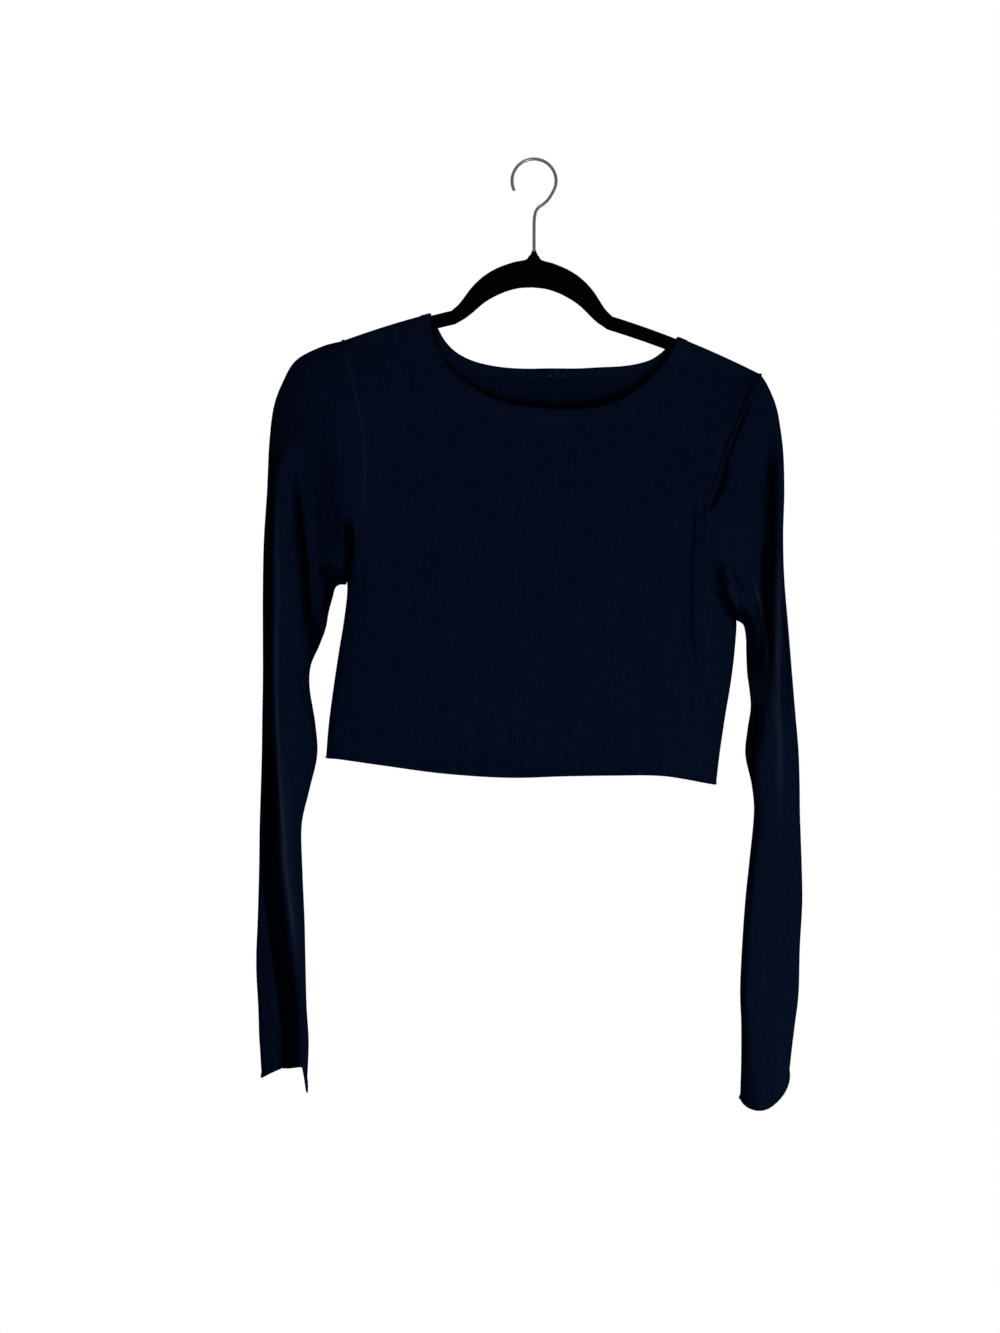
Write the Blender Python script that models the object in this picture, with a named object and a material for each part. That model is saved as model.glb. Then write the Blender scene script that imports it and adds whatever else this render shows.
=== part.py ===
"""Crop top with long sleeves in a fine rib knit, hung on a flocked plastic hanger with a wire hook.

The origin is the inner top of the hook's bend, where a rail carries the hanger. X runs across the garment,
Z is up, and the front faces -Y. Sizes below are in millimetres, and the meshes are written in metres.
"""

import math

import bpy
import numpy as np

MM = 0.001
SEAM_GAP = 0.3  # between the edges of two pieces that are sewn together
CLOTH_WALL = 1.2

# Hook: round wire bent to a ring that is open at its left, on an upright stem
WIRE_RADIUS = 1.5
HOOK_RADIUS = 20.7  # centre line of the bend
HOOK_START = -18  # degrees from the right, where the stem's sweep meets the ring
HOOK_END = 208
HOOK_STEPS = 22
STEM_SWEEP = (  # (across, up)
    (0.0, -66.0), (0.2, -56.0), (1.4, -48.8), (4.2, -44.2), (8.8, -41.0), (13.2, -36.8), (17.0, -31.0),
)  # fmt: skip

# Hanger plate, in its own frame: across from the middle, up from the top of its knob
KNOB_TOP = -87.0
HANGER_LEAN = math.radians(2.05)  # clockwise as seen from the front
HANGER_THICKNESS = 5.5
HANGER_EDGE_ROUNDING = 1.8
HANGER_ARM_POINTS = 7  # along each edge of an arm
ARM_START = 75.6
ARM_END = 212.0
ARM_START_HEIGHT = -57.0
ARM_SLOPE = 0.27
ARM_BOW = 0.00068  # the arm drops by this times the square of the way from its start
ARM_HEIGHT = 13.4
ARM_TIP_ROUNDING = 6.0
ARM_TIP_ANGLES = (60, 25, -10, -45, -75)  # degrees round the arm's tip
ARM_LOWER_SHIFT = 4.0  # how far the lower edge lies nearer the middle than the upper one
KNOB_AND_ARCH = (  # (across, up) along the outer side, from the knob to the arm
    (3.4, 0.0), (4.7, -1.5), (5.6, -4.2), (9.5, -6.6), (16.0, -8.8), (31.5, -14.1),
    (42.0, -20.0), (50.4, -26.8), (57.6, -34.6), (63.2, -42.6), (68.8, -50.4),
)  # fmt: skip
ARCH_INSIDE = (  # (across, up) along the inner side, from the middle to the arm
    (0.0, -32.2), (13.0, -33.4), (25.0, -37.0), (36.6, -42.6), (46.0, -49.0), (55.5, -57.8), (63.0, -64.2),
)  # fmt: skip

# The body's pieces are drawn in a frame that leans with the garment: u across from centre front, z up
GARMENT_LEAN = math.radians(4.0)  # clockwise as seen from the front
CENTRE_FRONT = 29.5  # across from the hook, in the leaning frame
OVER_THE_ARM = 5.1  # radius of the cloth where it turns over an arm
SHOULDER_GUESS = -160.0  # height from which the shoulder line is found
SHOULDER_TRIES = 5
SHOULDER_HALF = 196.5
ARMHOLE_ANGLES = (0, 8, 17, 32, 51, 71, 90, 107, 124, 142, 161, 180)  # degrees round the front of an armhole
ARMHOLE_DEPTH = 24.0
UNDERARM_HEIGHT = -403.0
SIDES = (  # (z, left half width, right half width)
    (-205, 189.0, 189.0),
    (-223, 183.0, 182.0),
    (-241, 178.0, 175.0),
    (-264, 171.5, 168.0),
    (-292, 167.0, 160.5),
    (-323, 165.0, 153.5),
    (-345, 165.0, 155.0),
    (-366, 166.5, 160.5),
    (-388, 171.5, 172.0),
    (-403, 177.0, 185.0),
    (-416, 174.5, 188.0),
    (-442, 177.5, 191.8),
    (-475, 180.5, 190.5),
    (-510, 183.2, 187.4),
    (-545, 185.2, 184.8),
    (-580, 185.4, 182.6),
)
BODY_DEPTHS = (  # (down from the shoulder line, front half depth, back half depth)
    (0, 5.1, 5.1),
    (50, 7.5, 7.0),
    (110, 12.5, 10.5),
    (180, 17.0, 15.0),
    (260, 19.0, 17.5),
    (350, 17.5, 18.0),
    (420, 15.5, 17.0),
)
SIDE_ROUNDING = 6  # power of the section: a higher one keeps the cloth flat up to nearer the side seam
SHOULDER_BLEND = 0.2  # top part of the armhole over which the turn over the arm fades out
NORMAL_STEP = 0.2  # reach over which the slope of the cloth is taken
SEAM_BLEND = (110, 170)  # degrees of the armhole over which its own normal gives way to the side seam's
SIDE_ROWS = 6
SHOULDER_COLUMNS = 6
NECK_SHARE = 0.66  # part of the hem's half width that lies below the neck seam

# Neck
NECK_HALF_WIDTH = 116.0
NECK_DROP = {"front": 78.6, "back": 42.0}
NECK_POWER = {"front": 1.5, "back": 0.85}  # a higher one makes a more pointed curve
NECK_SWAY = {"front": 0.0, "back": 6.0}  # how far the left half sags, and the right half is drawn up
NECK_ANGLES = {  # degrees from a shoulder to the middle of the neck
    "front": (0, 3.4, 9, 18, 31, 46, 61, 76, 90),
    "back": (0, 1.2, 4.5, 12, 26, 42, 58, 74, 90),
}
NECKBAND_WIDTH = 10.0
NECKBAND_WALL = 1.8
NECKBAND_PROUD = 0.6
NECK_SEAM_GAP = 0.6  # wider than the others, where the band turns over the arms
SHOULDER_FALL = 0.38  # slope of the shoulder line

# Hem rib
HEM_FINE_STEPS = 600  # along the piece, to space its ribs evenly on the curve
HEM_RIB_HEIGHT = 40.0
HEM_RIB_WALL = 1.5
HEM_RIBS = 98  # on the front, and as many on the back
HEM_RIB_RAISE = 0.7
HEM_LEVELS = (  # (u, front edge, back edge)
    (-184, -573.4, -573.4),
    (-132, -571.6, -577.6),
    (-68, -567.8, -581.4),
    (-5, -567.0, -580.4),
    (38, -569.6, -576.0),
    (85, -568.4, -572.0),
    (135, -567.6, -569.0),
    (181, -572.6, -572.6),
)

# Sleeves hang plumb. Each row is a ring, from the armhole to the cuff:
# (outer x, outer z, inner x, inner z, half depth)
SLEEVE_RINGS = 30
ARMHOLE_REACH = 0.30  # part of the sleeve's rings over which the armhole's curve fades out
SLEEVE_FLATNESS = 0.9
CUFF_REACH = 0.9  # part of the sleeve's rings from which the cuff's own line takes over
CUFF_RISE = {-1: {"front": 13.0, "back": 18.0}, 1: {"front": -6.0, "back": -2.0}}  # in the middle of a face
RIGHT_SLEEVE = (
    (-200, -175, -180, -399, 25),
    (-224, -188, -182, -403, 27),
    (-237, -210, -185, -407, 28),
    (-245, -233, -188, -411, 29),
    (-249, -267, -190, -418, 29),
    (-251, -310, -193, -428, 30),
    (-254, -357, -196, -440, 30),
    (-255, -404, -202, -456, 30),
    (-255, -451, -210, -475, 30),
    (-255, -488, -211, -496, 29),
    (-255, -526, -207, -529, 28),
    (-256, -559, -205, -559, 28),
    (-257, -592, -212, -592, 28),
    (-258, -625, -219, -625, 28),
    (-258, -667, -219, -667, 28),
    (-259, -714, -217, -714, 28),
    (-261, -756, -216, -756, 28),
    (-259, -794, -215, -795, 28),
    (-258, -827, -213, -833, 28),
    (-256, -862, -215, -876, 27),
)
LEFT_SLEEVE = (
    (217, -207, 191, -418, 25),
    (223, -219, 193, -422, 27),
    (228, -233, 194, -427, 28),
    (231, -249, 196, -432, 29),
    (234, -274, 197, -440, 29),
    (235, -310, 198, -452, 30),
    (234, -352, 199, -468, 30),
    (234, -394, 200, -484, 30),
    (237, -441, 203, -500, 30),
    (241, -488, 204, -515, 30),
    (244, -521, 201, -535, 29),
    (247, -554, 199, -559, 29),
    (248, -587, 205, -588, 28),
    (249, -615, 207, -615, 28),
    (251, -657, 203, -657, 28),
    (251, -695, 199, -695, 28),
    (249, -737, 196, -737, 28),
    (248, -780, 194, -780, 28),
    (244, -808, 195, -812, 28),
    (241, -838, 195, -848, 28),
    (239, -871, 194, -888, 27),
)

# Troughs pressed into a piece: (face, top x, top z, low x, low z, bow, half width, depth), plumb frame
FOLD_FOOT = 1.6  # a trough ends this many half widths from its middle
FOLD_FADE = 0.3  # part of its length over which each end fades out
FOLDS_BELOW = 60.0  # no trough lies nearer the shoulder line than this
THINNEST_HALF = 4.0  # half depth of the body that a trough leaves
SIDE_FADE = 1.6  # how fast a sleeve's troughs reach their depth, away from its outer and inner edges
BODY_FOLDS = (
    ("front", 141, -296, 164, -505, -6, 9, 6.0),
    ("front", -128, -330, -140, -560, 5, 22, 3.0),
    ("front", 18, -430, 30, -610, -4, 26, 2.5),
    ("back", -70, -260, -104, -600, 8, 30, 4.5),
    ("back", 42, -240, 64, -600, -8, 34, 5.0),
    ("back", 140, -300, 130, -590, 4, 16, 4.0),
)
RIGHT_SLEEVE_FOLDS = (
    ("front", -229, -290, -212, -470, -6, 7, 8.0),
    ("front", -247, -275, -247, -560, 0, 5, 5.0),
    ("front", -234, -600, -236, -960, 0, 15, 25.0),
    ("back", -222, -250, -214, -520, 5, 8, 8.0),
    ("back", -238, -480, -240, -800, 4, 8, 5.0),
)
LEFT_SLEEVE_FOLDS = (
    ("front", 222, -285, 216, -500, 5, 7, 8.0),
    ("front", 208, -395, 212, -450, 0, 6, 6.0),
    ("front", 220, -520, 231, -700, -3, 9, 3.0),
    ("back", 214, -260, 210, -500, 6, 8, 9.0),
    ("back", 212, -495, 208, -620, 0, 7, 7.0),
    ("back", 228, -600, 222, -860, 4, 9, 4.0),
)


def rise(share):
    """0 to 1 with level ends."""
    share = min(max(share, 0.0), 1.0)
    return share * share * (3 - 2 * share)


def through(rows, place, column):
    """A table's column at a place in its first column, on a smooth line through its rows."""
    table = np.array(rows, float)
    if table[0, 0] > table[-1, 0]:
        table = table[::-1]
    keys, values = table[:, 0], table[:, column]
    place = min(max(place, keys[0]), keys[-1])
    slopes = np.gradient(values, keys)
    low = min(int(np.searchsorted(keys, place, side="right")) - 1, len(keys) - 2)
    span = keys[low + 1] - keys[low]
    share = (place - keys[low]) / span
    change = values[low + 1] - values[low]
    bend = slopes[low] * span - change
    bend_after = change - slopes[low + 1] * span
    mix = share * (1 - share) * ((1 - share) * bend + share * bend_after)
    return values[low] + share * change + mix


def trough(folds, face, x, z):
    """How far the folds of one face press the cloth in at a place."""
    depth = 0.0
    for name, top_x, top_z, low_x, low_z, bow, half_width, fold_depth in folds:
        share = (top_z - z) / (top_z - low_z)
        if name != face or not 0 < share < 1:
            continue
        middle = top_x + (low_x - top_x) * share + bow * 4 * share * (1 - share)
        off = abs(x - middle) / (FOLD_FOOT * half_width)
        if off < 1:
            fade = rise(share / FOLD_FADE) * rise((1 - share) / FOLD_FADE)
            depth += fold_depth * fade * math.cos(off * math.pi / 2) ** 2
    return depth


def leant(u, z, lean=GARMENT_LEAN, centre=CENTRE_FRONT):
    """Plumb x and z of a point in a leaning frame."""
    x = centre + u
    return x * math.cos(lean) + z * math.sin(lean), z * math.cos(lean) - x * math.sin(lean)


def arm_top(across):
    """Upper edge of the hanger's arm, in the hanger's own frame."""
    along = abs(across) - ARM_START
    return ARM_START_HEIGHT - ARM_SLOPE * along - ARM_BOW * along * along


def shoulder_line(u):
    """Height of the cloth's top line over the arms, in the garment's frame."""
    z = SHOULDER_GUESS
    for _ in range(SHOULDER_TRIES):
        x, height = leant(u, z)
        across = x
        for _ in range(SHOULDER_TRIES):
            across = (x - arm_top(across) * math.sin(HANGER_LEAN)) / math.cos(HANGER_LEAN)
        _, arm = leant(across, arm_top(across), HANGER_LEAN, 0.0)
        z += KNOB_TOP + arm + OVER_THE_ARM - HANGER_THICKNESS / 2 - height
    return z


def half_width(side, z):
    """Half width of the body at a height, on its left (-1) or right (1) as seen from the front."""
    if z > SIDES[0][0]:
        share = (z - SIDES[0][0]) / (shoulder_line(side * SHOULDER_HALF) - SIDES[0][0])
        return SIDES[0][1] + (SHOULDER_HALF - SIDES[0][1]) * min(share, 1.0)
    return through(SIDES, z, 1 if side < 0 else 2)


def over_arm(down):
    """Half depth of cloth that turns over an arm, by how far it is down from the shoulder line."""
    left = OVER_THE_ARM - min(max(down, 0.0), OVER_THE_ARM)
    return math.sqrt(OVER_THE_ARM**2 - left**2)


def armhole_share(side, z):
    top = SHOULDER_TOP[side]
    return min(max((top - z) / (top - UNDERARM_HEIGHT), 0.0), 1.0)


def body_depth(face, u, z):
    """Half depth of the body's outer side at a place."""
    side = -1 if u < 0 else 1
    down = shoulder_line(u) - z
    middle = through(BODY_DEPTHS, down, 1 if face == "front" else 2)
    if down < OVER_THE_ARM:
        middle = over_arm(down)
    share = armhole_share(side, z)
    edge = ARMHOLE_DEPTH * math.sqrt(4 * share * (1 - share))
    if share < SHOULDER_BLEND:
        edge = max(edge, over_arm(down) * (1 - rise(share / SHOULDER_BLEND)))
    weight = min(abs(u) / (half_width(side, z) - SEAM_GAP / 2), 1.0) ** SIDE_ROUNDING
    x, plumb = leant(u, z)
    if down > FOLDS_BELOW:
        middle = max(middle - trough(BODY_FOLDS, face, x, plumb), THINNEST_HALF)
    return max(math.sqrt(middle**2 * (1 - weight) + edge**2 * weight), SEAM_GAP / 2)


SHOULDER_TOP = {side: shoulder_line(side * SHOULDER_HALF) for side in (-1, 1)}


def body_point(face, u, z):
    """Plumb point of the body's outer side."""
    x, height = leant(u, z)
    depth = body_depth(face, u, z)
    return np.array((x, -depth if face == "front" else depth, height))


def upright(normal):
    """A normal at the shoulder or side seam, where front and back meet edge to edge."""
    level = np.array((normal[0], 0.0, normal[2]))
    return level / np.linalg.norm(level)


def body_normal(face, u, z):
    """Plumb unit vector out of the body's cloth, from the slopes of its depth."""
    reach = 2 * NORMAL_STEP
    slope_u = (body_depth(face, u + NORMAL_STEP, z) - body_depth(face, u - NORMAL_STEP, z)) / reach
    slope_z = (body_depth(face, u, z + NORMAL_STEP) - body_depth(face, u, z - NORMAL_STEP)) / reach
    across, up = leant(-slope_u, -slope_z, centre=0.0)
    normal = np.array((across, -1.0 if face == "front" else 1.0, up))
    return normal / np.linalg.norm(normal)


def armhole_normal(side, angle):
    """Plumb unit vector out of the cloth along an armhole, for both of the pieces that meet there."""
    reach = (SHOULDER_TOP[side] - UNDERARM_HEIGHT) / 2
    turn = math.radians(angle)
    up = ARMHOLE_DEPTH * math.cos(turn)
    out = reach * math.sin(turn)
    x, z = leant(0.0, up, centre=0.0)
    normal = np.array((x, -out, z))
    return normal / np.linalg.norm(normal)


def neck_point(face, angle, outset):
    """u and z of the neck's curve, an outset below its finished edge."""
    half = NECK_HALF_WIDTH + outset
    u = -half * math.cos(math.radians(angle))
    left, right = shoulder_line(-half), shoulder_line(half)
    base = left + (right - left) * (u + half) / (2 * half)
    drop = NECK_DROP[face] + outset * (1 - SHOULDER_FALL)
    turn = math.radians(angle)
    fall = drop * math.sin(turn) ** NECK_POWER[face]
    return u, base - fall - NECK_SWAY[face] * math.sin(2 * turn)


def neck_angles(face):
    half = NECK_ANGLES[face]
    return list(half) + [180 - angle for angle in reversed(half[:-1])]


def hem_height(face, u):
    return through(HEM_LEVELS, u, 1 if face == "front" else 2)


def walled(name, outer, inner, closed=False, flipped=False):
    """A closed wall between two grids of plumb points, rows from the top down. Columns run round a tube."""
    height, count = len(outer), len(outer[0])
    points = (np.array([outer, inner]).reshape(-1, 3) * MM).tolist()

    def at(layer, row, column):
        return (layer * height + row) * count + column % count

    faces = []
    for column in range(count if closed else count - 1):
        for row in range(height - 1):
            for layer, order in ((0, 1), (1, -1)):
                corners = ((row, column), (row + 1, column), (row + 1, column + 1), (row, column + 1))
                faces.append([at(layer, *corner) for corner in corners][::order])
        for row, order in ((0, 1), (height - 1, -1)):
            rim = ((0, row, column), (0, row, column + 1), (1, row, column + 1), (1, row, column))
            faces.append([at(*corner) for corner in rim][::order])
    for row in range(0 if closed else height - 1):
        for column, order in ((0, -1), (count - 1, 1)):
            rim = ((0, row, column), (0, row + 1, column), (1, row + 1, column), (1, row, column))
            faces.append([at(*corner) for corner in rim][::order])
    mesh = bpy.data.meshes.new(name)
    mesh.from_pydata(points, [], [face[::-1] if flipped else face for face in faces])
    mesh.shade_smooth()
    mesh.set_sharp_from_angle(angle=math.radians(50))
    obj = bpy.data.objects.new(name, mesh)
    parts.objects.link(obj)
    return obj


def material(name, colour, roughness, metallic=0.0):
    made = bpy.data.materials.new(name)
    made.use_nodes = True
    shader = made.node_tree.nodes["Principled BSDF"]
    shader.inputs["Base Color"].default_value = (*colour, 1)
    shader.inputs["Roughness"].default_value = roughness
    shader.inputs["Metallic"].default_value = metallic
    return made


def armhole_heights(side):
    middle = (SHOULDER_TOP[side] + UNDERARM_HEIGHT) / 2
    reach = (SHOULDER_TOP[side] - UNDERARM_HEIGHT) / 2
    return [middle + reach * math.cos(math.radians(angle)) for angle in ARMHOLE_ANGLES]


def panel(face):
    """Front or back: a patch between the shoulders and neck, the two armholes and sides, and the hem rib."""
    inset = SEAM_GAP / 2
    outset = NECKBAND_WIDTH + NECK_SEAM_GAP
    neck_half = NECK_HALF_WIDTH + outset
    top, low_shares = [], []
    for step in range(SHOULDER_COLUMNS):
        share = 1 - math.cos(math.pi / 2 * step / SHOULDER_COLUMNS)
        u = -(SHOULDER_HALF - inset) + (SHOULDER_HALF - inset - neck_half) * share
        top.append((u, shoulder_line(u)))
        low_shares.append(-1 + (1 - NECK_SHARE) * share)
    mirrored = [(-u, shoulder_line(-u)) for u, _ in reversed(top)]
    top += [neck_point(face, angle, outset) for angle in neck_angles(face)] + mirrored
    under_neck = np.linspace(-NECK_SHARE, NECK_SHARE, len(neck_angles(face)))
    low_shares = low_shares + list(under_neck) + [-share for share in reversed(low_shares)]

    def rib_top(u):
        return hem_height(face, u) + HEM_RIB_HEIGHT + SEAM_GAP

    edges = {}
    for side in (-1, 1):
        low_z = rib_top(side * half_width(side, -HEM_RIB_HEIGHT + HEM_LEVELS[0][1]))
        side_seam = np.linspace(UNDERARM_HEIGHT, low_z, SIDE_ROWS + 1)[1:]
        heights = [*armhole_heights(side), *side_seam]
        edges[side] = [(side * (half_width(side, z) - inset), z) for z in heights]
    left_low, right_low = edges[-1][-1][0], edges[1][-1][0]
    low = [left_low + (right_low - left_low) * (share + 1) / 2 for share in low_shares]
    low = [(u, rib_top(u)) for u in low]

    outer, inner = [], []
    on_armhole = len(ARMHOLE_ANGLES)
    for number, ends in enumerate(zip(edges[-1], edges[1])):
        down = 0.0
        for side, end in zip((-1, 1), ends):
            start_z, low_z = edges[side][0][1], edges[side][-1][1]
            down += (start_z - end[1]) / (start_z - low_z) / 2
        outer_row, inner_row = [], []
        for column, (start, end, share) in enumerate(zip(top, low, low_shares)):
            place = np.array(start) * (1 - down) + np.array(end) * down
            for side, edge_point in zip((-1, 1), ends):
                first, last = np.array(edges[side][0]), np.array(edges[side][-1])
                place += (1 + side * share) / 2 * (np.array(edge_point) - first * (1 - down) - last * down)
            point = body_point(face, *place)
            normal = body_normal(face, *place)
            side = {0: -1, len(top) - 1: 1}.get(column, 0)
            if side and number < on_armhole:
                shared = armhole_normal(side, ARMHOLE_ANGLES[number])
                shared[1] *= 1 if face == "front" else -1
                own = upright(normal) if number == on_armhole - 1 else normal
                first_angle, last_angle = SEAM_BLEND
                at_side = rise((ARMHOLE_ANGLES[number] - first_angle) / (last_angle - first_angle))
                normal = shared * (1 - at_side) + own * at_side
                normal /= np.linalg.norm(normal)
            elif side or (number == 0 and abs(place[0]) > neck_half - 0.01):
                normal = upright(normal)
            outer_row.append(point)
            inner_row.append(point - normal * CLOTH_WALL)
        outer.append(outer_row)
        inner.append(inner_row)
    return walled(face, outer, inner, flipped=face == "back")


def hem_rib(face):
    """Ribbed welt: a wall whose outer points are raised along every rib over a plain inside."""
    height = HEM_LEVELS[0][1] + HEM_RIB_HEIGHT / 2
    left, right = (half_width(side, height) - SEAM_GAP / 2 for side in (-1, 1))
    turns = np.linspace(0.0, math.pi, HEM_FINE_STEPS + 1)
    fine = (right - left - (left + right) * np.cos(turns)) / 2
    line = np.array([body_point(face, u, height) for u in fine])
    run = np.concatenate([[0], np.cumsum(np.linalg.norm(np.diff(line, axis=0), axis=1))])
    places = np.interp(np.linspace(0, run[-1], 2 * HEM_RIBS + 1), run, fine)
    outer, inner = [], []
    for up in (HEM_RIB_HEIGHT, 0.0):
        outer_row, inner_row = [], []
        for number, place in enumerate(places):
            side = -1 if place < 0 else 1
            z = hem_height(face, place) + up
            u = place * (half_width(side, z) - SEAM_GAP / 2) / (left if place < 0 else right)
            point, normal = body_point(face, u, z), body_normal(face, u, z)
            if number in (0, len(places) - 1):
                normal = upright(normal)
            outer_row.append(point + normal * HEM_RIB_RAISE * (number % 2))
            inner_row.append(point - normal * (HEM_RIB_WALL - HEM_RIB_RAISE))
        outer.append(outer_row)
        inner.append(inner_row)
    return walled("hem_rib_" + face, outer, inner, flipped=face == "back")


def neckband():
    """One loop of binding: from the left shoulder along the front's edge, and back along the back's."""
    outer, inner = [], []
    for outset in (0.0, NECKBAND_WIDTH):
        outer_row, inner_row = [], []
        for face in ("front", "back"):
            angles = neck_angles(face)[:-1] if face == "front" else neck_angles(face)[:0:-1]
            for angle in angles:
                u, z = neck_point(face, angle, outset)
                point, normal = body_point(face, u, z), body_normal(face, u, z)
                if angle in (0, 180):
                    point[1] = 0.0
                    normal = upright(normal)
                outer_row.append(point + normal * NECKBAND_PROUD)
                inner_row.append(point - normal * (NECKBAND_WALL - NECKBAND_PROUD))
        outer.append(outer_row)
        inner.append(inner_row)
    return walled("neckband", outer, inner, closed=True)


def sleeve(name, side, sections, folds):
    """A tube of rings from the armhole, where it is a seam gap outside the body, to the cuff."""
    angles = list(ARMHOLE_ANGLES) + [360 - angle for angle in ARMHOLE_ANGLES[-2:0:-1]]
    heights = armhole_heights(side)
    heights += heights[-2:0:-1]
    seam = []
    for angle, z in zip(angles, heights):
        x, height = leant(side * (half_width(side, z) + SEAM_GAP / 2), z)
        seam.append(np.array((x, -ARMHOLE_DEPTH * math.sin(math.radians(angle)), height)))
    top, under = seam[0], seam[len(ARMHOLE_ANGLES) - 1]
    stations = [(0, top[0], top[2], under[0], under[2], ARMHOLE_DEPTH)]
    stations += [(number + 1, *section) for number, section in enumerate(sections)]
    outer = [seam]
    for ring in range(1, SLEEVE_RINGS + 1):
        share = ring / SLEEVE_RINGS
        station = (len(stations) - 1) * share
        ends = [through(stations, station, column) for column in range(1, 6)]
        outer_x, outer_z, inner_x, inner_z, depth = ends
        reached = rise(share / ARMHOLE_REACH)
        power = 1 - (1 - SLEEVE_FLATNESS) * reached
        row = []
        for angle, seam_point in zip(angles, seam):
            turn = math.radians(angle)
            across = math.copysign(abs(math.cos(turn)) ** power, math.cos(turn))
            out = math.copysign(abs(math.sin(turn)) ** power, math.sin(turn))
            x = (outer_x + inner_x) / 2 + (outer_x - inner_x) / 2 * across
            z = (outer_z + inner_z) / 2 + (outer_z - inner_z) / 2 * across
            chord = (top[0] + under[0]) / 2 + (top[0] - under[0]) / 2 * math.cos(turn)
            x += (1 - reached) * (seam_point[0] - chord)
            face = "front" if out > 0 else "back"
            pressed = trough(folds, face, x, z) * min(1.0, SIDE_FADE * abs(out))
            z += CUFF_RISE[side][face] * out * out * rise((share - CUFF_REACH) / (1 - CUFF_REACH))
            row.append(np.array((x, -depth * out + math.copysign(pressed, out), z)))
        outer.append(row)
    inner = []
    for number, row in enumerate(outer):
        before, after = outer[max(number - 1, 0)], outer[min(number + 1, SLEEVE_RINGS)]
        inner_row = []
        for column, point in enumerate(row):
            round_it = bisector(row[column - 1], point, row[(column + 1) % len(row)])
            normal = np.cross(after[column] - before[column], round_it) * -side
            if number == 0:
                normal = armhole_normal(side, angles[column])
            inner_row.append(point - normal / np.linalg.norm(normal) * CLOTH_WALL)
        inner.append(inner_row)
    return walled(name, outer, inner, closed=True, flipped=side > 0)


def bisector(before, point, after):
    """Direction of a line where it bends at a point."""
    arriving, leaving = point - before, after - point
    return arriving / np.linalg.norm(arriving) + leaving / np.linalg.norm(leaving)


def hanger_outline():
    """The plate's edge, clockwise from the knob, for the right half and then the left."""
    outer = list(KNOB_AND_ARCH)
    tip_x = ARM_END - ARM_TIP_ROUNDING
    for across in np.linspace(ARM_START, tip_x, HANGER_ARM_POINTS):
        outer.append((across, arm_top(across)))
    tip_z = arm_top(tip_x) - ARM_HEIGHT / 2
    for degrees in ARM_TIP_ANGLES:
        turn = math.radians(degrees)
        outer.append((tip_x + ARM_TIP_ROUNDING * math.cos(turn), tip_z + ARM_HEIGHT / 2 * math.sin(turn)))
    for across in np.linspace(tip_x, ARM_START, HANGER_ARM_POINTS) - ARM_LOWER_SHIFT:
        outer.append((across, arm_top(across) - ARM_HEIGHT))
    half = outer + list(reversed(ARCH_INSIDE))
    return half + [(-across, up) for across, up in reversed(half[:-1])]


def hanger_body():
    curve = bpy.data.curves.new("hanger_body", "CURVE")
    curve.dimensions = "2D"
    curve.fill_mode = "BOTH"
    curve.bevel_depth = HANGER_EDGE_ROUNDING * MM
    curve.bevel_resolution = 1
    curve.offset = -HANGER_EDGE_ROUNDING * MM
    curve.extrude = (HANGER_THICKNESS / 2 - HANGER_EDGE_ROUNDING) * MM
    outline = hanger_outline()
    spline = curve.splines.new("POLY")
    spline.points.add(len(outline) - 1)
    for point, (across, up) in zip(spline.points, outline):
        point.co = (across * MM, up * MM, 0, 1)
    spline.use_cyclic_u = True
    obj = bpy.data.objects.new("hanger_body", curve)
    obj.location = (0, 0, KNOB_TOP * MM)
    obj.rotation_euler = (math.pi / 2, HANGER_LEAN, 0)
    parts.objects.link(obj)
    return obj


def hanger_hook():
    centre = WIRE_RADIUS - HOOK_RADIUS
    path = [(0.0, KNOB_TOP + SEAM_GAP), *STEM_SWEEP]
    for step in range(HOOK_STEPS + 1):
        turn = math.radians(HOOK_START + (HOOK_END - HOOK_START) * step / HOOK_STEPS)
        path.append((HOOK_RADIUS * math.cos(turn), centre + HOOK_RADIUS * math.sin(turn)))
    curve = bpy.data.curves.new("hanger_hook", "CURVE")
    curve.dimensions = "3D"
    curve.bevel_depth = WIRE_RADIUS * MM
    curve.bevel_resolution = 2
    curve.use_fill_caps = True
    spline = curve.splines.new("POLY")
    spline.points.add(len(path) - 1)
    for point, (across, up) in zip(spline.points, path):
        point.co = (across * MM, 0, up * MM, 1)
    obj = bpy.data.objects.new("hanger_hook", curve)
    parts.objects.link(obj)
    return obj


for old in list(bpy.data.objects):
    bpy.data.objects.remove(old, do_unlink=True)
parts = bpy.data.collections.new("crop_top_on_hanger")
bpy.context.scene.collection.children.link(parts)

knit = material("navy_rib_knit", (0.006, 0.010, 0.026), 0.85)
flock = material("black_flock", (0.006, 0.006, 0.006), 0.95)
steel = material("steel_wire", (0.62, 0.62, 0.62), 0.25, 1.0)

pieces = [panel("front"), panel("back"), hem_rib("front"), hem_rib("back"), neckband()]
pieces.append(sleeve("left_sleeve", 1, LEFT_SLEEVE, LEFT_SLEEVE_FOLDS))
pieces.append(sleeve("right_sleeve", -1, RIGHT_SLEEVE, RIGHT_SLEEVE_FOLDS))
for piece in pieces:
    piece.data.materials.append(knit)
hanger_body().data.materials.append(flock)
hanger_hook().data.materials.append(steel)
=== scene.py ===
"""Long-sleeved crop top in a fine navy rib knit, hung on a black flocked hanger with a steel hook.

Sizes are in millimetres and become metres in the meshes. X runs across the garment, Z is up, the front faces -Y,
and the origin is the inner top of the hook's bend.
"""

import math

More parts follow.
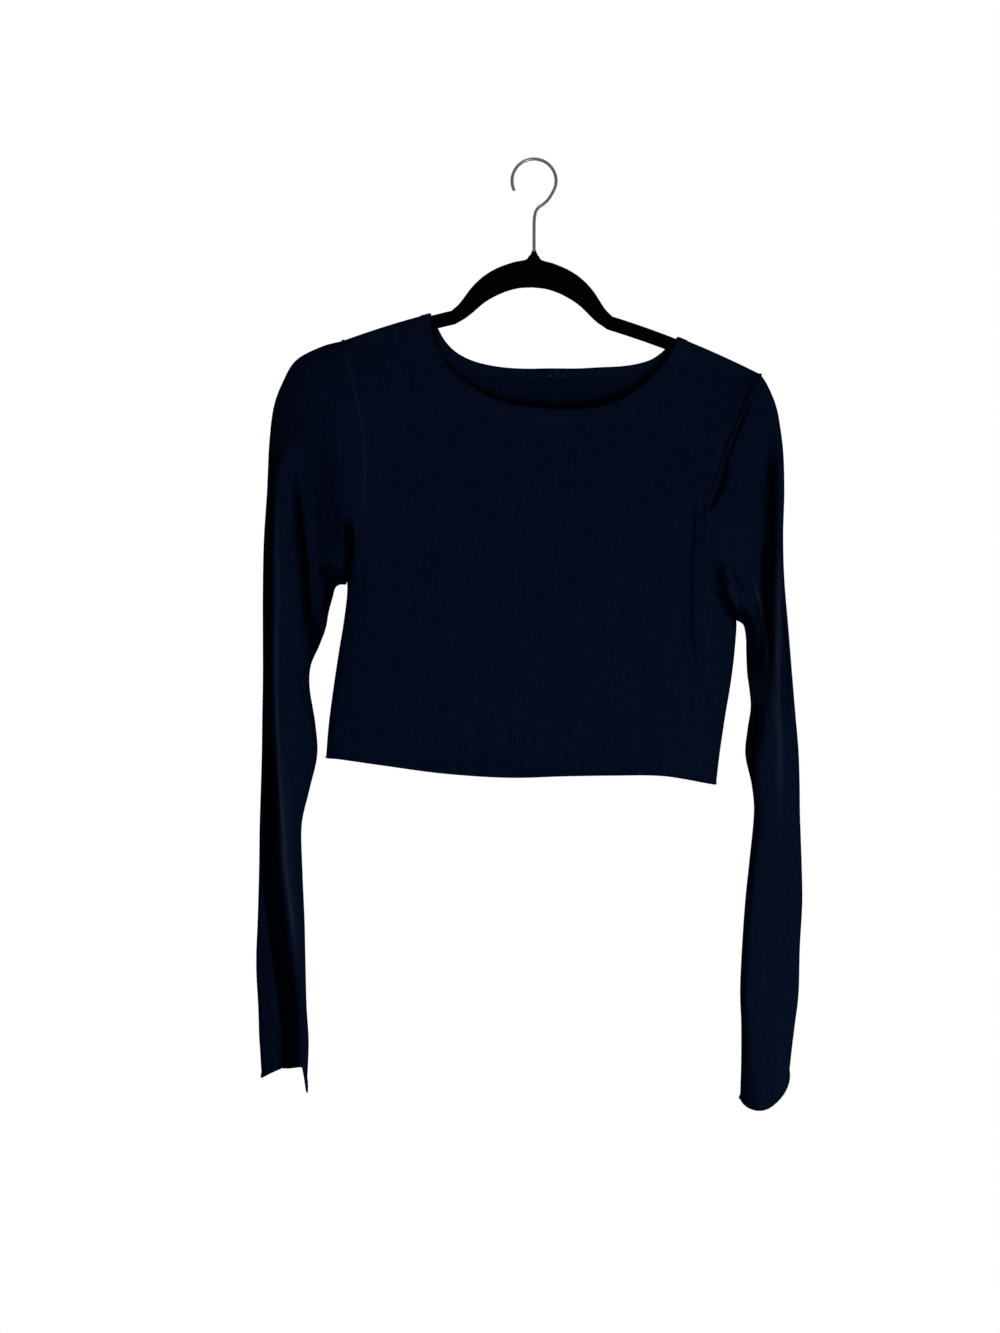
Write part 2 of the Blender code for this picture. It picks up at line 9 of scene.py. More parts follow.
import bpy
import numpy as np
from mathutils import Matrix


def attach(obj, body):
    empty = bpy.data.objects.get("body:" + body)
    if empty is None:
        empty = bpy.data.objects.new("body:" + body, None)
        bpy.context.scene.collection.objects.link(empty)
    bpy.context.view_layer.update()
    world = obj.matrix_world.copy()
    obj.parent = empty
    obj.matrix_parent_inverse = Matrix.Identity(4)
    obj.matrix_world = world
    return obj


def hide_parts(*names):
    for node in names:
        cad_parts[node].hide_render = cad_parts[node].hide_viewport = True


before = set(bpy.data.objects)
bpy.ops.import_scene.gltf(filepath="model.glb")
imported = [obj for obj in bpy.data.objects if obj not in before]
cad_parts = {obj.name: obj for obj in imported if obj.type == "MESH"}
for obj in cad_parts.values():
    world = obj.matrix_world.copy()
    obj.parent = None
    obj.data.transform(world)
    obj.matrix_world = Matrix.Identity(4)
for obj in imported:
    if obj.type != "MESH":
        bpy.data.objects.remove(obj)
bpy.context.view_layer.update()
bpy.ops.object.select_all(action="DESELECT")

# ---- Hook ---------------------------------------------------------------------------------------------------------
# Round steel wire, drawn, bright-plated and bent to an open ring. Its stem sweeps back to the middle and is pressed
# into the plate's knob.
MM = 0.001
WIRE_RADIUS = 1.5
HOOK_RADIUS = 20.7
HOOK_START = -18  # degrees
HOOK_END = 208
HOOK_STEPS = 72
KNOB_TOP = -87.0
STEM_SINK = 3.0
STEM_SPACING = 1.2
STEM_GAP = 0.6
STEM_SWEEP = (
    (0.0, -66.0), (0.2, -56.0), (1.4, -48.8), (4.2, -44.2), (8.8, -41.0), (13.2, -36.8), (17.0, -31.0),
)  # fmt: skip
STEPS_BETWEEN_POINTS = 16
SMOOTH_ANGLE = math.radians(50)


def run_along(line):
    """Length along a line of points, from its first point to each."""
    return np.concatenate([[0], np.cumsum(np.linalg.norm(np.diff(line, axis=0), axis=1))])


def smooth_line(points, spacing):
    """Places at an even spacing on a smooth line through points."""
    knots = np.array(points, float)
    knots = np.vstack([2 * knots[0] - knots[1], knots, 2 * knots[-1] - knots[-2]])
    shares = np.linspace(0, 1, STEPS_BETWEEN_POINTS, endpoint=False)[:, None]
    line = []
    for before, first, second, after in zip(knots, knots[1:], knots[2:], knots[3:]):
        slope, next_slope = (second - before) / 2, (after - first) / 2
        bend = 3 * (second - first) - 2 * slope - next_slope
        twist = 2 * (first - second) + slope + next_slope
        line.append(first + shares * (slope + shares * (bend + shares * twist)))
    line = np.vstack([*line, knots[-2:-1]])
    run = run_along(line)
    places = np.linspace(0, run[-1], max(int(run[-1] / spacing), 2) + 1)
    return np.column_stack([np.interp(places, run, column) for column in line.T])


def guide_line(name, points, closed=False):
    """A line of straight steps through points."""
    bpy.ops.curve.primitive_nurbs_path_add(location=(0, 0, 0))
    guide = bpy.context.object
    guide.name = name
    guide.data.splines.clear()
    spline = guide.data.splines.new("POLY")
    spline.points.add(len(points) - 1)
    spline.points.foreach_set("co", np.column_stack([points * MM, np.ones(len(points))]).ravel())
    spline.use_cyclic_u = closed
    return guide


def new_finish(name):
    """A new material with its node tree and its shader."""
    made = bpy.data.materials.new(name)
    made.use_nodes = True
    return made, made.node_tree, made.node_tree.nodes["Principled BSDF"]


def noise_node(tree, place, scale, detail=2.0):
    """Noise over a place."""
    node = tree.nodes.new("ShaderNodeTexNoise")
    node.inputs["Scale"].default_value = scale
    node.inputs["Detail"].default_value = detail
    tree.links.new(place, node.inputs["Vector"])
    return node.outputs["Fac"]


def colour_node(tree, value, dark, light, low=0.0, high=1.0):
    """A colour from dark to light as a value goes from low to high."""
    node = tree.nodes.new("ShaderNodeValToRGB")
    for stop, position, colour in zip(node.color_ramp.elements, (low, high), (dark, light)):
        stop.position = position
        stop.color = (*colour, 1)
    tree.links.new(value, node.inputs["Fac"])
    return node.outputs["Color"]


def range_node(tree, value, low, high):
    """Low to high as a value goes from 0 to 1."""
    node = tree.nodes.new("ShaderNodeMapRange")
    node.inputs["To Min"].default_value = low
    node.inputs["To Max"].default_value = high
    tree.links.new(value, node.inputs["Value"])
    return node.outputs["Result"]


def steel_finish():
    """Plated wire: drawn along its length, with a fine haze and a few duller spots."""
    made, tree, shader = new_finish("bright_steel_wire")
    shader.inputs["Metallic"].default_value = 1.0
    haze = noise_node(tree, tree.nodes.new("ShaderNodeTexCoord").outputs["Object"], scale=240.0, detail=3.0)
    tree.links.new(colour_node(tree, haze, (0.19, 0.19, 0.195), (0.32, 0.32, 0.325)), shader.inputs["Base Color"])
    tree.links.new(range_node(tree, haze, 0.20, 0.36), shader.inputs["Roughness"])
    return made


ring_turns = np.radians(np.linspace(HOOK_START, HOOK_END, HOOK_STEPS + 1))
ring = HOOK_RADIUS * np.column_stack([np.cos(ring_turns), np.sin(ring_turns)]) + (0, WIRE_RADIUS - HOOK_RADIUS)
stem = smooth_line([(0.0, KNOB_TOP - STEM_SINK), *STEM_SWEEP, tuple(ring[0]), tuple(ring[2])], STEM_SPACING)
stem = stem[stem[:, 1] < ring[0, 1] - STEM_GAP]
path = np.vstack([stem, ring])
hook = guide_line("hook_wire", np.column_stack([path[:, 0], np.zeros(len(path)), path[:, 1]]))
hook.data.bevel_depth = WIRE_RADIUS * MM
hook.data.bevel_resolution = 4
hook.data.use_fill_caps = True
bpy.ops.object.convert(target="MESH")
bpy.ops.object.shade_smooth_by_angle(angle=SMOOTH_ANGLE)
hook.data.materials.append(steel_finish())
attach(hook, "root")
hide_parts("hanger_hook")

# ---- Hanger plate -------------------------------------------------------------------------------------------------
# Slim moulded plate with a knob, an arch and two drooping arms, flocked all over with short black fibres. A small
# collar with the same flock closes the knob round the hook's stem.
HANGER_LEAN = math.radians(2.05)
HANGER_THICKNESS = 5.5
HANGER_EDGE_ROUNDING = 1.9
ARM_START = 75.6
ARM_END = 212.0
ARM_START_HEIGHT = -57.0
ARM_SLOPE = 0.27
ARM_BOW = 0.00068
ARM_HEIGHT = 13.4
ARM_PLACES = 24
ARM_LOWER_SHIFT = 4.0
ARM_TIP_ROUNDING = 6.0
ARM_TIP_TURN = (75, -80)  # degrees
ARM_TIP_PLACES = 10
OUTLINE_SPACING = 1.6
KNOB_AND_ARCH = (
    (0.0, -1.2), (3.2, -1.6), (4.8, -3.0), (6.2, -5.4), (9.0, -7.0), (18.5, -9.2),
    (31.5, -14.1), (42.0, -20.0), (50.4, -26.8), (57.6, -34.6), (63.2, -42.6), (68.8, -50.4),
)  # fmt: skip
COLLAR_FOOT = -4.6
COLLAR_TIP = 2.8
COLLAR_RADII = (4.6, 1.75)
COLLAR_FLATNESS = 0.58
COLLAR_SIDES = 32
MERGE_DISTANCE = 0.01
ARCH_INSIDE = (
    (0.0, -32.2), (13.0, -33.4), (25.0, -37.0), (36.6, -42.6), (46.0, -49.0), (55.5, -57.8), (63.0, -64.2),
)  # fmt: skip


def arm_top(across):
    """Upper edge of the hanger's arm, in the hanger's own frame."""
    along = np.abs(across) - ARM_START
    return ARM_START_HEIGHT - ARM_SLOPE * along - ARM_BOW * along * along


def plate_outline():
    """The plate's edge, clockwise from the knob, for the right half and then the left."""
    upper = smooth_line([*KNOB_AND_ARCH, (ARM_START, float(arm_top(ARM_START)))], OUTLINE_SPACING)[1:-1]
    tip_x = ARM_END - ARM_TIP_ROUNDING
    across = np.linspace(ARM_START, tip_x, ARM_PLACES)
    turns = np.radians(np.linspace(*ARM_TIP_TURN, ARM_TIP_PLACES))
    tip_z = arm_top(tip_x) - ARM_HEIGHT / 2
    tip = np.column_stack([tip_x + ARM_TIP_ROUNDING * np.cos(turns), tip_z + ARM_HEIGHT / 2 * np.sin(turns)])
    below = across[::-1] - ARM_LOWER_SHIFT
    inside = smooth_line(ARCH_INSIDE[::-1], OUTLINE_SPACING)[1:]
    half = np.vstack([
        upper,
        np.column_stack([across, arm_top(across)]),
        tip,
        np.column_stack([below, arm_top(below) - ARM_HEIGHT]),
        inside,
    ])  # fmt: skip
    return np.vstack([half, half[-2::-1] * (-1, 1)])


def math_node(tree, operation, *inputs):
    """A Math node with values or sockets plugged into it."""
    node = tree.nodes.new("ShaderNodeMath")
    node.operation = operation
    for socket, value in zip(node.inputs, inputs):
        if isinstance(value, (int, float)):
            socket.default_value = value
        else:
            tree.links.new(value, socket)
    return node.outputs["Value"]


def bump_node(tree, height, strength, distance):
    """Relief from a height of 0 to 1, with its distance in metres."""
    node = tree.nodes.new("ShaderNodeBump")
    node.inputs["Strength"].default_value = strength
    node.inputs["Distance"].default_value = distance
    tree.links.new(height, node.inputs["Height"])
    return node.outputs["Normal"]


def flock_finish():
    """Black flock: short upright fibres that take no gloss, brushed one way in places."""
    made, tree, shader = new_finish("black_flock")
    shader.inputs["Specular IOR Level"].default_value = 0.0
    place = tree.nodes.new("ShaderNodeTexCoord").outputs["Object"]
    fibres = noise_node(tree, place, scale=2600.0)
    both = math_node(tree, "MULTIPLY", fibres, noise_node(tree, place, scale=90.0))
    tint = colour_node(tree, both, (0.0011, 0.0011, 0.0017), (0.0032, 0.0032, 0.0046), low=0.12, high=0.42)
    tree.links.new(tint, shader.inputs["Base Color"])
    tree.links.new(range_node(tree, fibres, 0.86, 1.0), shader.inputs["Roughness"])
    tree.links.new(bump_node(tree, fibres, strength=0.5, distance=0.0003), shader.inputs["Normal"])
    return made


outline = plate_outline()
plate = guide_line("hanger_plate", np.column_stack([outline, np.zeros(len(outline))]), closed=True)
plate.data.dimensions = "2D"
plate.data.fill_mode = "BOTH"
plate.data.bevel_depth = HANGER_EDGE_ROUNDING * MM
plate.data.bevel_resolution = 4
plate.data.offset = -HANGER_EDGE_ROUNDING * MM
plate.data.extrude = (HANGER_THICKNESS / 2 - HANGER_EDGE_ROUNDING) * MM
bpy.ops.object.convert(target="MESH")
plate.location = (0, 0, KNOB_TOP * MM)
plate.rotation_euler = (math.pi / 2, HANGER_LEAN, 0)
bpy.ops.object.transform_apply(location=True, rotation=True, scale=True)
bpy.ops.object.mode_set(mode="EDIT")
bpy.ops.mesh.select_all(action="SELECT")
bpy.ops.mesh.remove_doubles(threshold=MERGE_DISTANCE * MM)
bpy.ops.mesh.normals_make_consistent(inside=False)
bpy.ops.object.mode_set(mode="OBJECT")
bpy.ops.object.shade_smooth_by_angle(angle=SMOOTH_ANGLE)
bpy.ops.mesh.primitive_cone_add(
    vertices=COLLAR_SIDES, radius1=COLLAR_RADII[0] * MM, radius2=COLLAR_RADII[1] * MM,
    depth=(COLLAR_TIP - COLLAR_FOOT) * MM, location=(0, 0, (KNOB_TOP + (COLLAR_FOOT + COLLAR_TIP) / 2) * MM),
)  # fmt: skip
collar = bpy.context.object
collar.scale = (1, COLLAR_FLATNESS, 1)
bpy.ops.object.transform_apply(location=True, rotation=True, scale=True)
bpy.ops.object.shade_smooth_by_angle(angle=SMOOTH_ANGLE)
plate.select_set(True)
bpy.context.view_layer.objects.active = plate
bpy.ops.object.join()
plate.data.materials.append(flock_finish())
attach(plate, "root")
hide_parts("hanger_body")

# ---- Back ---------------------------------------------------------------------------------------------------------
# One panel of fine rib knit from the shoulders down to the hem rib, hung over the hanger's arms. Body pieces are
# drawn in a frame that leans with the garment: u across from centre front, z up.
GARMENT_LEAN = math.radians(4.0)
CENTRE_FRONT = 29.5
OVER_THE_ARM = 5.1
SHOULDER_HALF = 196.5
ARMHOLE_DEPTH = 24.0
ARMHOLE_STEPS = 76
UNDERARM_HEIGHT = -403.0
SIDES = (  # (z, left half width, right half width)
    (-205, 189.0, 189.0),
    (-223, 183.0, 182.0),
    (-241, 178.0, 175.0),
    (-264, 171.5, 168.0),
    (-292, 167.0, 160.5),
    (-323, 165.0, 153.5),
    (-345, 165.0, 155.0),
    (-366, 166.5, 160.5),
    (-388, 171.5, 172.0),
    (-403, 177.0, 186.5),
    (-416, 176.4, 190.0),
    (-442, 177.5, 190.8),
    (-475, 180.5, 189.3),
    (-510, 183.2, 186.0),
    (-545, 185.2, 183.4),
    (-580, 185.4, 181.8),
)
BODY_DEPTHS = (  # (down from the shoulder line, front half depth, back half depth)
    (0, 5.1, 5.1),
    (50, 7.5, 7.0),
    (110, 12.5, 10.5),
    (180, 17.0, 15.0),
    (260, 19.0, 17.5),
    (350, 17.5, 18.0),
    (420, 15.5, 17.0),
)
SIDE_ROUNDING = 6
SHOULDER_BLEND = 0.2
SIDE_ROWS = 44
SHOULDER_COLUMNS = 46
NECK_COLUMNS = 128
NECK_SHARE = 0.7
NECK_HALF_WIDTH = 116.0
NECK_FALLS = {  # (angle round the neck from the wearer's right, fall below the shoulders' line)
    "front": (
        (0, 0), (6, 8.5), (13, 20), (22, 33.5), (30, 44.5), (38, 53.5), (45, 60.3), (52, 66.6), (60, 73), (68, 77.3),
        (76, 79.8), (86, 80.3), (96, 79.4), (106, 77), (115, 72.8), (124, 65.8), (132, 57.2), (139, 48.5), (146, 39.5),
        (153, 30), (160, 20), (167, 11), (174, 4), (180, 0),
    ),
    "back": (
        (0, 0), (8, 2.8), (15, 7.2), (21, 13.2), (27, 20.8), (32, 26.5), (37, 31.3), (44, 36.2), (51, 39.6),
        (58, 41.6), (67, 42.7), (77, 42.2), (90, 39.5), (102, 37.3), (114, 34), (126, 30.9), (136, 26.8),
        (144, 22.3), (151, 16.4), (158, 10), (166, 4.8), (173, 1.8), (180, 0),
    ),
}  # fmt: skip
NECK_DEPTH = {"front": 80.3, "back": 42.7}
NECK_ANGLES = (0, 4, 10, 20, 33, 47, 61, 76, 90)
NECKBAND_WIDTH = 10.0
UNDER_BAND = 1.6
SHOULDER_FALL = 0.38
HEM_RIB_HEIGHT = 40.0
HEM_LEVELS = (  # (u, front edge, back edge)
    (-184, -573.4, -573.4),
    (-132, -571.6, -577.6),
    (-68, -567.8, -581.4),
    (-5, -567.0, -580.4),
    (38, -569.6, -576.0),
    (85, -568.4, -572.0),
    (135, -567.6, -569.0),
    (181, -572.6, -572.6),
)
CLOTH_WALL = 1.2
CLOSING_DISTANCE = 0.02
THINNEST_HALF = 4.0
SILHOUETTE_KEPT = 7.0
SHOULDER_GUESS = -160.0
SOLVING_ROUNDS = 5
CREASE_SPACING = 4.0
CREASE_FADE = 0.3
SHARP_POWER = 2.2
# By face: (half width on its left, on its right, depth, places down its length), with a last word where it's sharp
CREASES = {}
CREASES["back"] = (
    (48, 48, 3.5, ((-70, -260), (-79, -430), (-104, -600))),
    (54, 54, 4.0, ((42, -240), (45, -420), (64, -600))),
    (26, 26, 4.0, ((140, -300), (139, -445), (130, -590))),
    (13, 13, 8.0, ((-222, -250), (-213, -385), (-214, -520))),
    (13, 13, 5.0, ((-238, -480), (-235, -640), (-240, -800))),
    (13, 13, 9.0, ((214, -260), (218, -380), (210, -500))),
    (11, 11, 7.0, ((212, -495), (210, -557), (208, -620))),
    (14, 14, 4.0, ((228, -600), (229, -730), (222, -860))),
)
# The same by face and by the cloth's other side, with a share in place of a depth: light painted into the colour,
# a painted highlight on ridges (above 0) or painted shade in deep folds, pockets and gaps (below 0)
PAINTED_LIGHT_ROWS = {
    "back": (),
    # painted shadow of the front's neck edge on the inside of the back, seen through the neck
    "inside back": (
        (10, 10, -1.5, (
            (-108, -140), (-103, -160), (-97, -176), (-87, -191), (-74, -205), (-56, -217), (-36, -225), (-18, -229),
        )),
        (60, 60, -0.26, ((-200, -205), (0, -212), (260, -228))),
    ),
    "inside front": (),
    # painted shade on the band's inner side at the left of the neck, in the gap behind the front's edge
    "inside neckband": (
        (12, 9, -2.0, ((-106, -110), (-103, -140), (-98, -164), (-91, -182), (-80, -198), (-66, -216))),
    ),
}
WAVE_PHASE = {"front": 1.0, "back": 2.2}
WAVE_HEIGHT = 0.3
WAVE_ACROSS = 23
WAVE_SWAY = (1.3, 61)  # (how far waves sway to a side, how long a sway is)
SLANTED_WAVES = ((0.7, 90, 47), (0.5, 11, -130))  # (share of the height, length across, length down)
FOLDS_START = 12  # down from the shoulder line
FOLDS_GROW = 40  # from there to their full depth


def rise(share):
    """0 to 1 with level ends."""
    share = np.clip(share, 0.0, 1.0)
    return share * share * (3 - 2 * share)


def through(rows, place, column):
    """A table's column at places in its first column, on a smooth line through its rows."""
    table = np.array(rows, float)
    if table[0, 0] > table[-1, 0]:
        table = table[::-1]
    keys, values = table[:, 0], table[:, column]
    place = np.clip(place, keys[0], keys[-1])
    slopes = np.gradient(values, keys)
    low = np.clip(np.searchsorted(keys, place, side="right") - 1, 0, len(keys) - 2)
    span = keys[low + 1] - keys[low]
    share = (place - keys[low]) / span
    change = values[low + 1] - values[low]
    bend = slopes[low] * span - change
    bend_after = change - slopes[low + 1] * span
    return values[low] + share * change + share * (1 - share) * ((1 - share) * bend + share * bend_after)


def leant(u, z, lean=GARMENT_LEAN, centre=CENTRE_FRONT):
    """Plumb x and z of places in a leaning frame."""
    x = centre + u
    return x * math.cos(lean) + z * math.sin(lean), z * math.cos(lean) - x * math.sin(lean)


def shoulder_line(u):
    """Height of the cloth's top line over the arms, in the garment's frame."""
    z = SHOULDER_GUESS + 0 * u
    for _ in range(SOLVING_ROUNDS):
        x, height = leant(u, z)
        across = x
        for _ in range(SOLVING_ROUNDS):
            across = (x - arm_top(across) * math.sin(HANGER_LEAN)) / math.cos(HANGER_LEAN)
        _, arm = leant(across, arm_top(across), HANGER_LEAN, 0.0)
        z = z + KNOB_TOP + arm + OVER_THE_ARM - HANGER_THICKNESS / 2 - height
    return z


def half_width(side, z):
    """Half width of the body at a height, on its left (-1) or right (1) as seen from the front."""
    top_share = (z - SIDES[0][0]) / (shoulder_line(side * SHOULDER_HALF) - SIDES[0][0])
    over = SIDES[0][1] + (SHOULDER_HALF - SIDES[0][1]) * np.minimum(top_share, 1.0)
    return np.where(z > SIDES[0][0], over, through(SIDES, z, 1 if side < 0 else 2))


def over_arm(down):
    """Half depth of cloth that turns over an arm, by how far it is down from the shoulder line."""
    left = OVER_THE_ARM - np.clip(down, 0.0, OVER_THE_ARM)
    return np.sqrt(OVER_THE_ARM**2 - left**2)


def creased(creases, x, z):
    """How far creases press the cloth in at plumb places, or, for rows of painted light, how much highlight (above 0)
    or shade (below 0) is painted into the colour. Troughs have a depth above 0 and ridges below."""
    pressed = np.zeros(x.shape)
    for left, right, depth, points, *sharp in creases:
        line = smooth_line(points, CREASE_SPACING)
        reach = max(left, right)
        (x_low, z_low), (x_high, z_high) = line.min(0) - reach, line.max(0) + reach
        near = (x > x_low) & (x < x_high) & (z > z_low) & (z < z_high)
        if not near.any():
            continue
        places = np.column_stack([x[near], z[near]])
        start, step = line[:-1], np.diff(line, axis=0)
        offset = places[:, None] - start
        share = np.clip((offset * step).sum(2) / (step**2).sum(1), 0, 1)
        offset -= share[..., None] * step
        gap = np.hypot(offset[..., 0], offset[..., 1])
        nearest = gap.argmin(1)
        rows = np.arange(len(gap))
        across = step[nearest, 0] * offset[rows, nearest, 1] - step[nearest, 1] * offset[rows, nearest, 0]
        off = np.minimum(gap[rows, nearest] / np.where(across < 0, left, right), 1.0)
        along = (nearest + share[rows, nearest]) / len(step)
        profile = (1 - off) ** SHARP_POWER if sharp else np.cos(off * math.pi / 2) ** 2
        pressed[near] += depth * profile * rise(along / CREASE_FADE) * rise((1 - along) / CREASE_FADE)
    return pressed


def hung_depth(face, x, z, depth):
    """Half depth at plumb places once the creases and the slow hollows of a hung cloth are pressed in."""
    u = x * math.cos(GARMENT_LEAN) - z * math.sin(GARMENT_LEAN) - CENTRE_FRONT
    up = z * math.cos(GARMENT_LEAN) + x * math.sin(GARMENT_LEAN)
    down = shoulder_line(u) - up
    phase = WAVE_PHASE[face]
    waves = np.sin(x / WAVE_ACROSS + WAVE_SWAY[0] * np.sin(z / WAVE_SWAY[1] + phase) + phase)
    for number, (share, length_across, length_down) in enumerate(SLANTED_WAVES, start=2):
        waves += share * np.sin(x / length_across + z / length_down + number * phase)
    pressed = creased(CREASES[face], x, z) + WAVE_HEIGHT * waves
    pressed *= rise(depth / SILHOUETTE_KEPT) * rise((down - FOLDS_START) / FOLDS_GROW)
    return np.maximum(depth - pressed, np.minimum(depth, THINNEST_HALF))


SHOULDER_TOP = {side: float(shoulder_line(side * SHOULDER_HALF)) for side in (-1, 1)}


def body_points(face, u, z):
    """Plumb points of the body's outer side."""
    side = np.where(u < 0, -1, 1)
    top = np.where(side < 0, SHOULDER_TOP[-1], SHOULDER_TOP[1])
    width = np.where(side < 0, half_width(-1, z), half_width(1, z))
    down = shoulder_line(u) - z
    middle = through(BODY_DEPTHS, down, 1 if face == "front" else 2)
    middle = np.where(down < OVER_THE_ARM, over_arm(down), middle)
    share = np.clip((top - z) / (top - UNDERARM_HEIGHT), 0.0, 1.0)
    edge = ARMHOLE_DEPTH * np.sqrt(4 * share * (1 - share))
    turned = over_arm(down) * (1 - rise(share / SHOULDER_BLEND))
    edge = np.where(share < SHOULDER_BLEND, np.maximum(edge, turned), edge)
    weight = np.minimum(np.abs(u) / width, 1.0) ** SIDE_ROUNDING
    depth = np.sqrt(middle**2 * (1 - weight) + edge**2 * weight)
    x, height = leant(u, z)
    depth = hung_depth(face, x, height, depth)
    return np.stack([x, -depth if face == "front" else depth, height], axis=-1)


def neck_places(face, angle, outset):
    """u and z of the neck's curve, an outset below its finished edge."""
    half = NECK_HALF_WIDTH + outset
    turn = np.radians(angle)
    u = -half * np.cos(turn)
    left, right = shoulder_line(-half), shoulder_line(half)
    base = left + (right - left) * (u + half) / (2 * half)
    deeper = 1 + outset * (1 - SHOULDER_FALL) / NECK_DEPTH[face]
    return u, base - through(NECK_FALLS[face], angle, 1) * deeper


def neck_angles(steps):
    """Angles round the neck, closer together where it turns over the arms."""
    half = list(enumerate(NECK_ANGLES))
    last = 2 * half[-1][0]
    table = [*half, *((last - number, 180 - angle) for number, angle in half[-2::-1])]
    return through(table, np.linspace(0, last, steps + 1), 1)


def hem_height(face, u):
    """Height of a face's lower edge."""
    return through(HEM_LEVELS, u, 1 if face == "front" else 2)


def armhole_heights(side):
    """Heights down an armhole, closer together at its ends."""
    middle = (SHOULDER_TOP[side] + UNDERARM_HEIGHT) / 2
    reach = (SHOULDER_TOP[side] - UNDERARM_HEIGHT) / 2
    return middle + reach * np.cos(np.linspace(0, math.pi, ARMHOLE_STEPS + 1))


def panel_places(face):
    """u and z over a front or back: a patch between shoulders and neck, armholes and sides, and the hem rib."""
    outset = NECKBAND_WIDTH - UNDER_BAND
    shoulder = SHOULDER_HALF - NECK_HALF_WIDTH - outset
    share = 1 - np.cos(math.pi / 2 * np.arange(SHOULDER_COLUMNS) / SHOULDER_COLUMNS)
    across = -SHOULDER_HALF + shoulder * share
    left_top = np.column_stack([across, shoulder_line(across)])
    right_top = np.column_stack([-across, shoulder_line(-across)])[::-1]
    neck = np.column_stack(neck_places(face, neck_angles(NECK_COLUMNS), outset))
    top = np.vstack([left_top, neck, right_top])
    low_left = -1 + (1 - NECK_SHARE) * share
    low_share = np.concatenate([low_left, np.linspace(-NECK_SHARE, NECK_SHARE, NECK_COLUMNS + 1), -low_left[::-1]])

    edges = {}
    for side in (-1, 1):
        low_u = side * half_width(side, HEM_LEVELS[0][1] + HEM_RIB_HEIGHT)
        low_z = hem_height(face, low_u) + HEM_RIB_HEIGHT
        side_seam = np.linspace(UNDERARM_HEIGHT, low_z, SIDE_ROWS + 1)[1:]
        heights = np.concatenate([armhole_heights(side), side_seam])
        edges[side] = np.column_stack([side * half_width(side, heights), heights])
    left_low, right_low = edges[-1][-1, 0], edges[1][-1, 0]
    low_u = left_low + (right_low - left_low) * (low_share + 1) / 2
    low = np.column_stack([low_u, hem_height(face, low_u) + HEM_RIB_HEIGHT])
    down = sum((edge[0, 1] - edge[:, 1]) / (edge[0, 1] - edge[-1, 1]) for edge in edges.values()) / 2
    down = down[:, None, None]
    places = top * (1 - down) + low * down
    for side, edge in edges.items():
        inward = np.clip((side * low_share - NECK_SHARE) / (1 - NECK_SHARE), 0, 1)[None, :, None]
        places = places + inward * (edge[:, None] - edge[0] * (1 - down) - edge[-1] * down)
    return places[..., 0], places[..., 1]


def cloth(name, points, across, along, painted_light, wall=None, closed=False, flipped=False, painted_light_inside=None):
    """A knitted piece from a grid of plumb points, with rows from the top down. across and along lay it out flat,
    and the third grid is light painted into its colour: a highlight above 0, shade in a deep fold below 0. A last
    grid, when given, paints the inner side of the wall."""
    rows, columns = points.shape[:2]
    bpy.ops.mesh.primitive_grid_add(x_subdivisions=columns - 1, y_subdivisions=rows - 1, size=1, location=(0, 0, 0))
    piece = bpy.context.object
    piece.name = piece.data.name = name
    mesh = piece.data
    flat = np.empty(len(mesh.vertices) * 3)
    mesh.vertices.foreach_get("co", flat)
    flat = flat.reshape(-1, 3)
    column = np.rint((flat[:, 0] + 0.5) * (columns - 1)).astype(int)
    row = np.rint((0.5 - flat[:, 1]) * (rows - 1)).astype(int)
    mesh.vertices.foreach_set("co", (points[row, column] * MM).ravel())
    corners = np.empty(len(mesh.loops), int)
    mesh.loops.foreach_get("vertex_index", corners)
    layout = np.column_stack([across[row, column], along[row, column]])[corners] * MM
    mesh.uv_layers[0].data.foreach_set("uv", layout.ravel())
    fibres = mesh.attributes.new("painted_light", "FLOAT", "POINT")
    fibres.data.foreach_set("value", np.clip(painted_light, -1, 1)[row, column])
    mesh.update()
    bpy.ops.object.mode_set(mode="EDIT")
    bpy.ops.mesh.select_all(action="SELECT")
    if closed:
        bpy.ops.mesh.remove_doubles(threshold=CLOSING_DISTANCE * MM)
    if flipped:
        bpy.ops.mesh.flip_normals()
    bpy.ops.object.mode_set(mode="OBJECT")
    if wall:
        thickness = piece.modifiers.new("wall", "SOLIDIFY")
        thickness.thickness = wall * MM
        thickness.offset = -1
        bpy.ops.object.modifier_apply(modifier=thickness.name)
    # Light and shade painted into the colour of the wall's inner side
    if painted_light_inside is not None:
        both_sides = np.concatenate([painted_light[row, column], painted_light_inside[row, column]])
        mesh.attributes["painted_light"].data.foreach_set("value", np.clip(both_sides, -1, 1))
    bpy.ops.object.shade_smooth_by_angle(angle=SMOOTH_ANGLE)
    return piece


WALE_PITCH = 1.9
COURSE_PITCH = 1.1
LOOP_SLANT = 1.1
LOOP_HEIGHT = 0.14
YARN_GRAINS = ((0.55, 0.012, 3.0, 0.35), (0.62, 0.28, 2.0, 0.65))  # (to a wale, to a course, detail, share)
YARN_CONTRAST = 2.6
YARN_MIDDLE = -0.675
# Ramp of the knit's colour: shade painted in the rib grooves and light on the crests, with the yarn's own darker and
# paler streaks
SHADED_GROOVE_AND_DARK_YARN_COLOUR = (0.0026, 0.0074, 0.0245)
LIT_CREST_AND_PALE_YARN_COLOUR = (0.0056, 0.0126, 0.0385)
# Painted highlight on ridges and painted shade in deep folds, pockets and gaps, mixed in by the painted-light
# attribute
PAINTED_HIGHLIGHT_COLOUR = (0.0200, 0.0265, 0.0560, 1)
PAINTED_SHADE_COLOUR = (0.0012, 0.0025, 0.0084, 1)


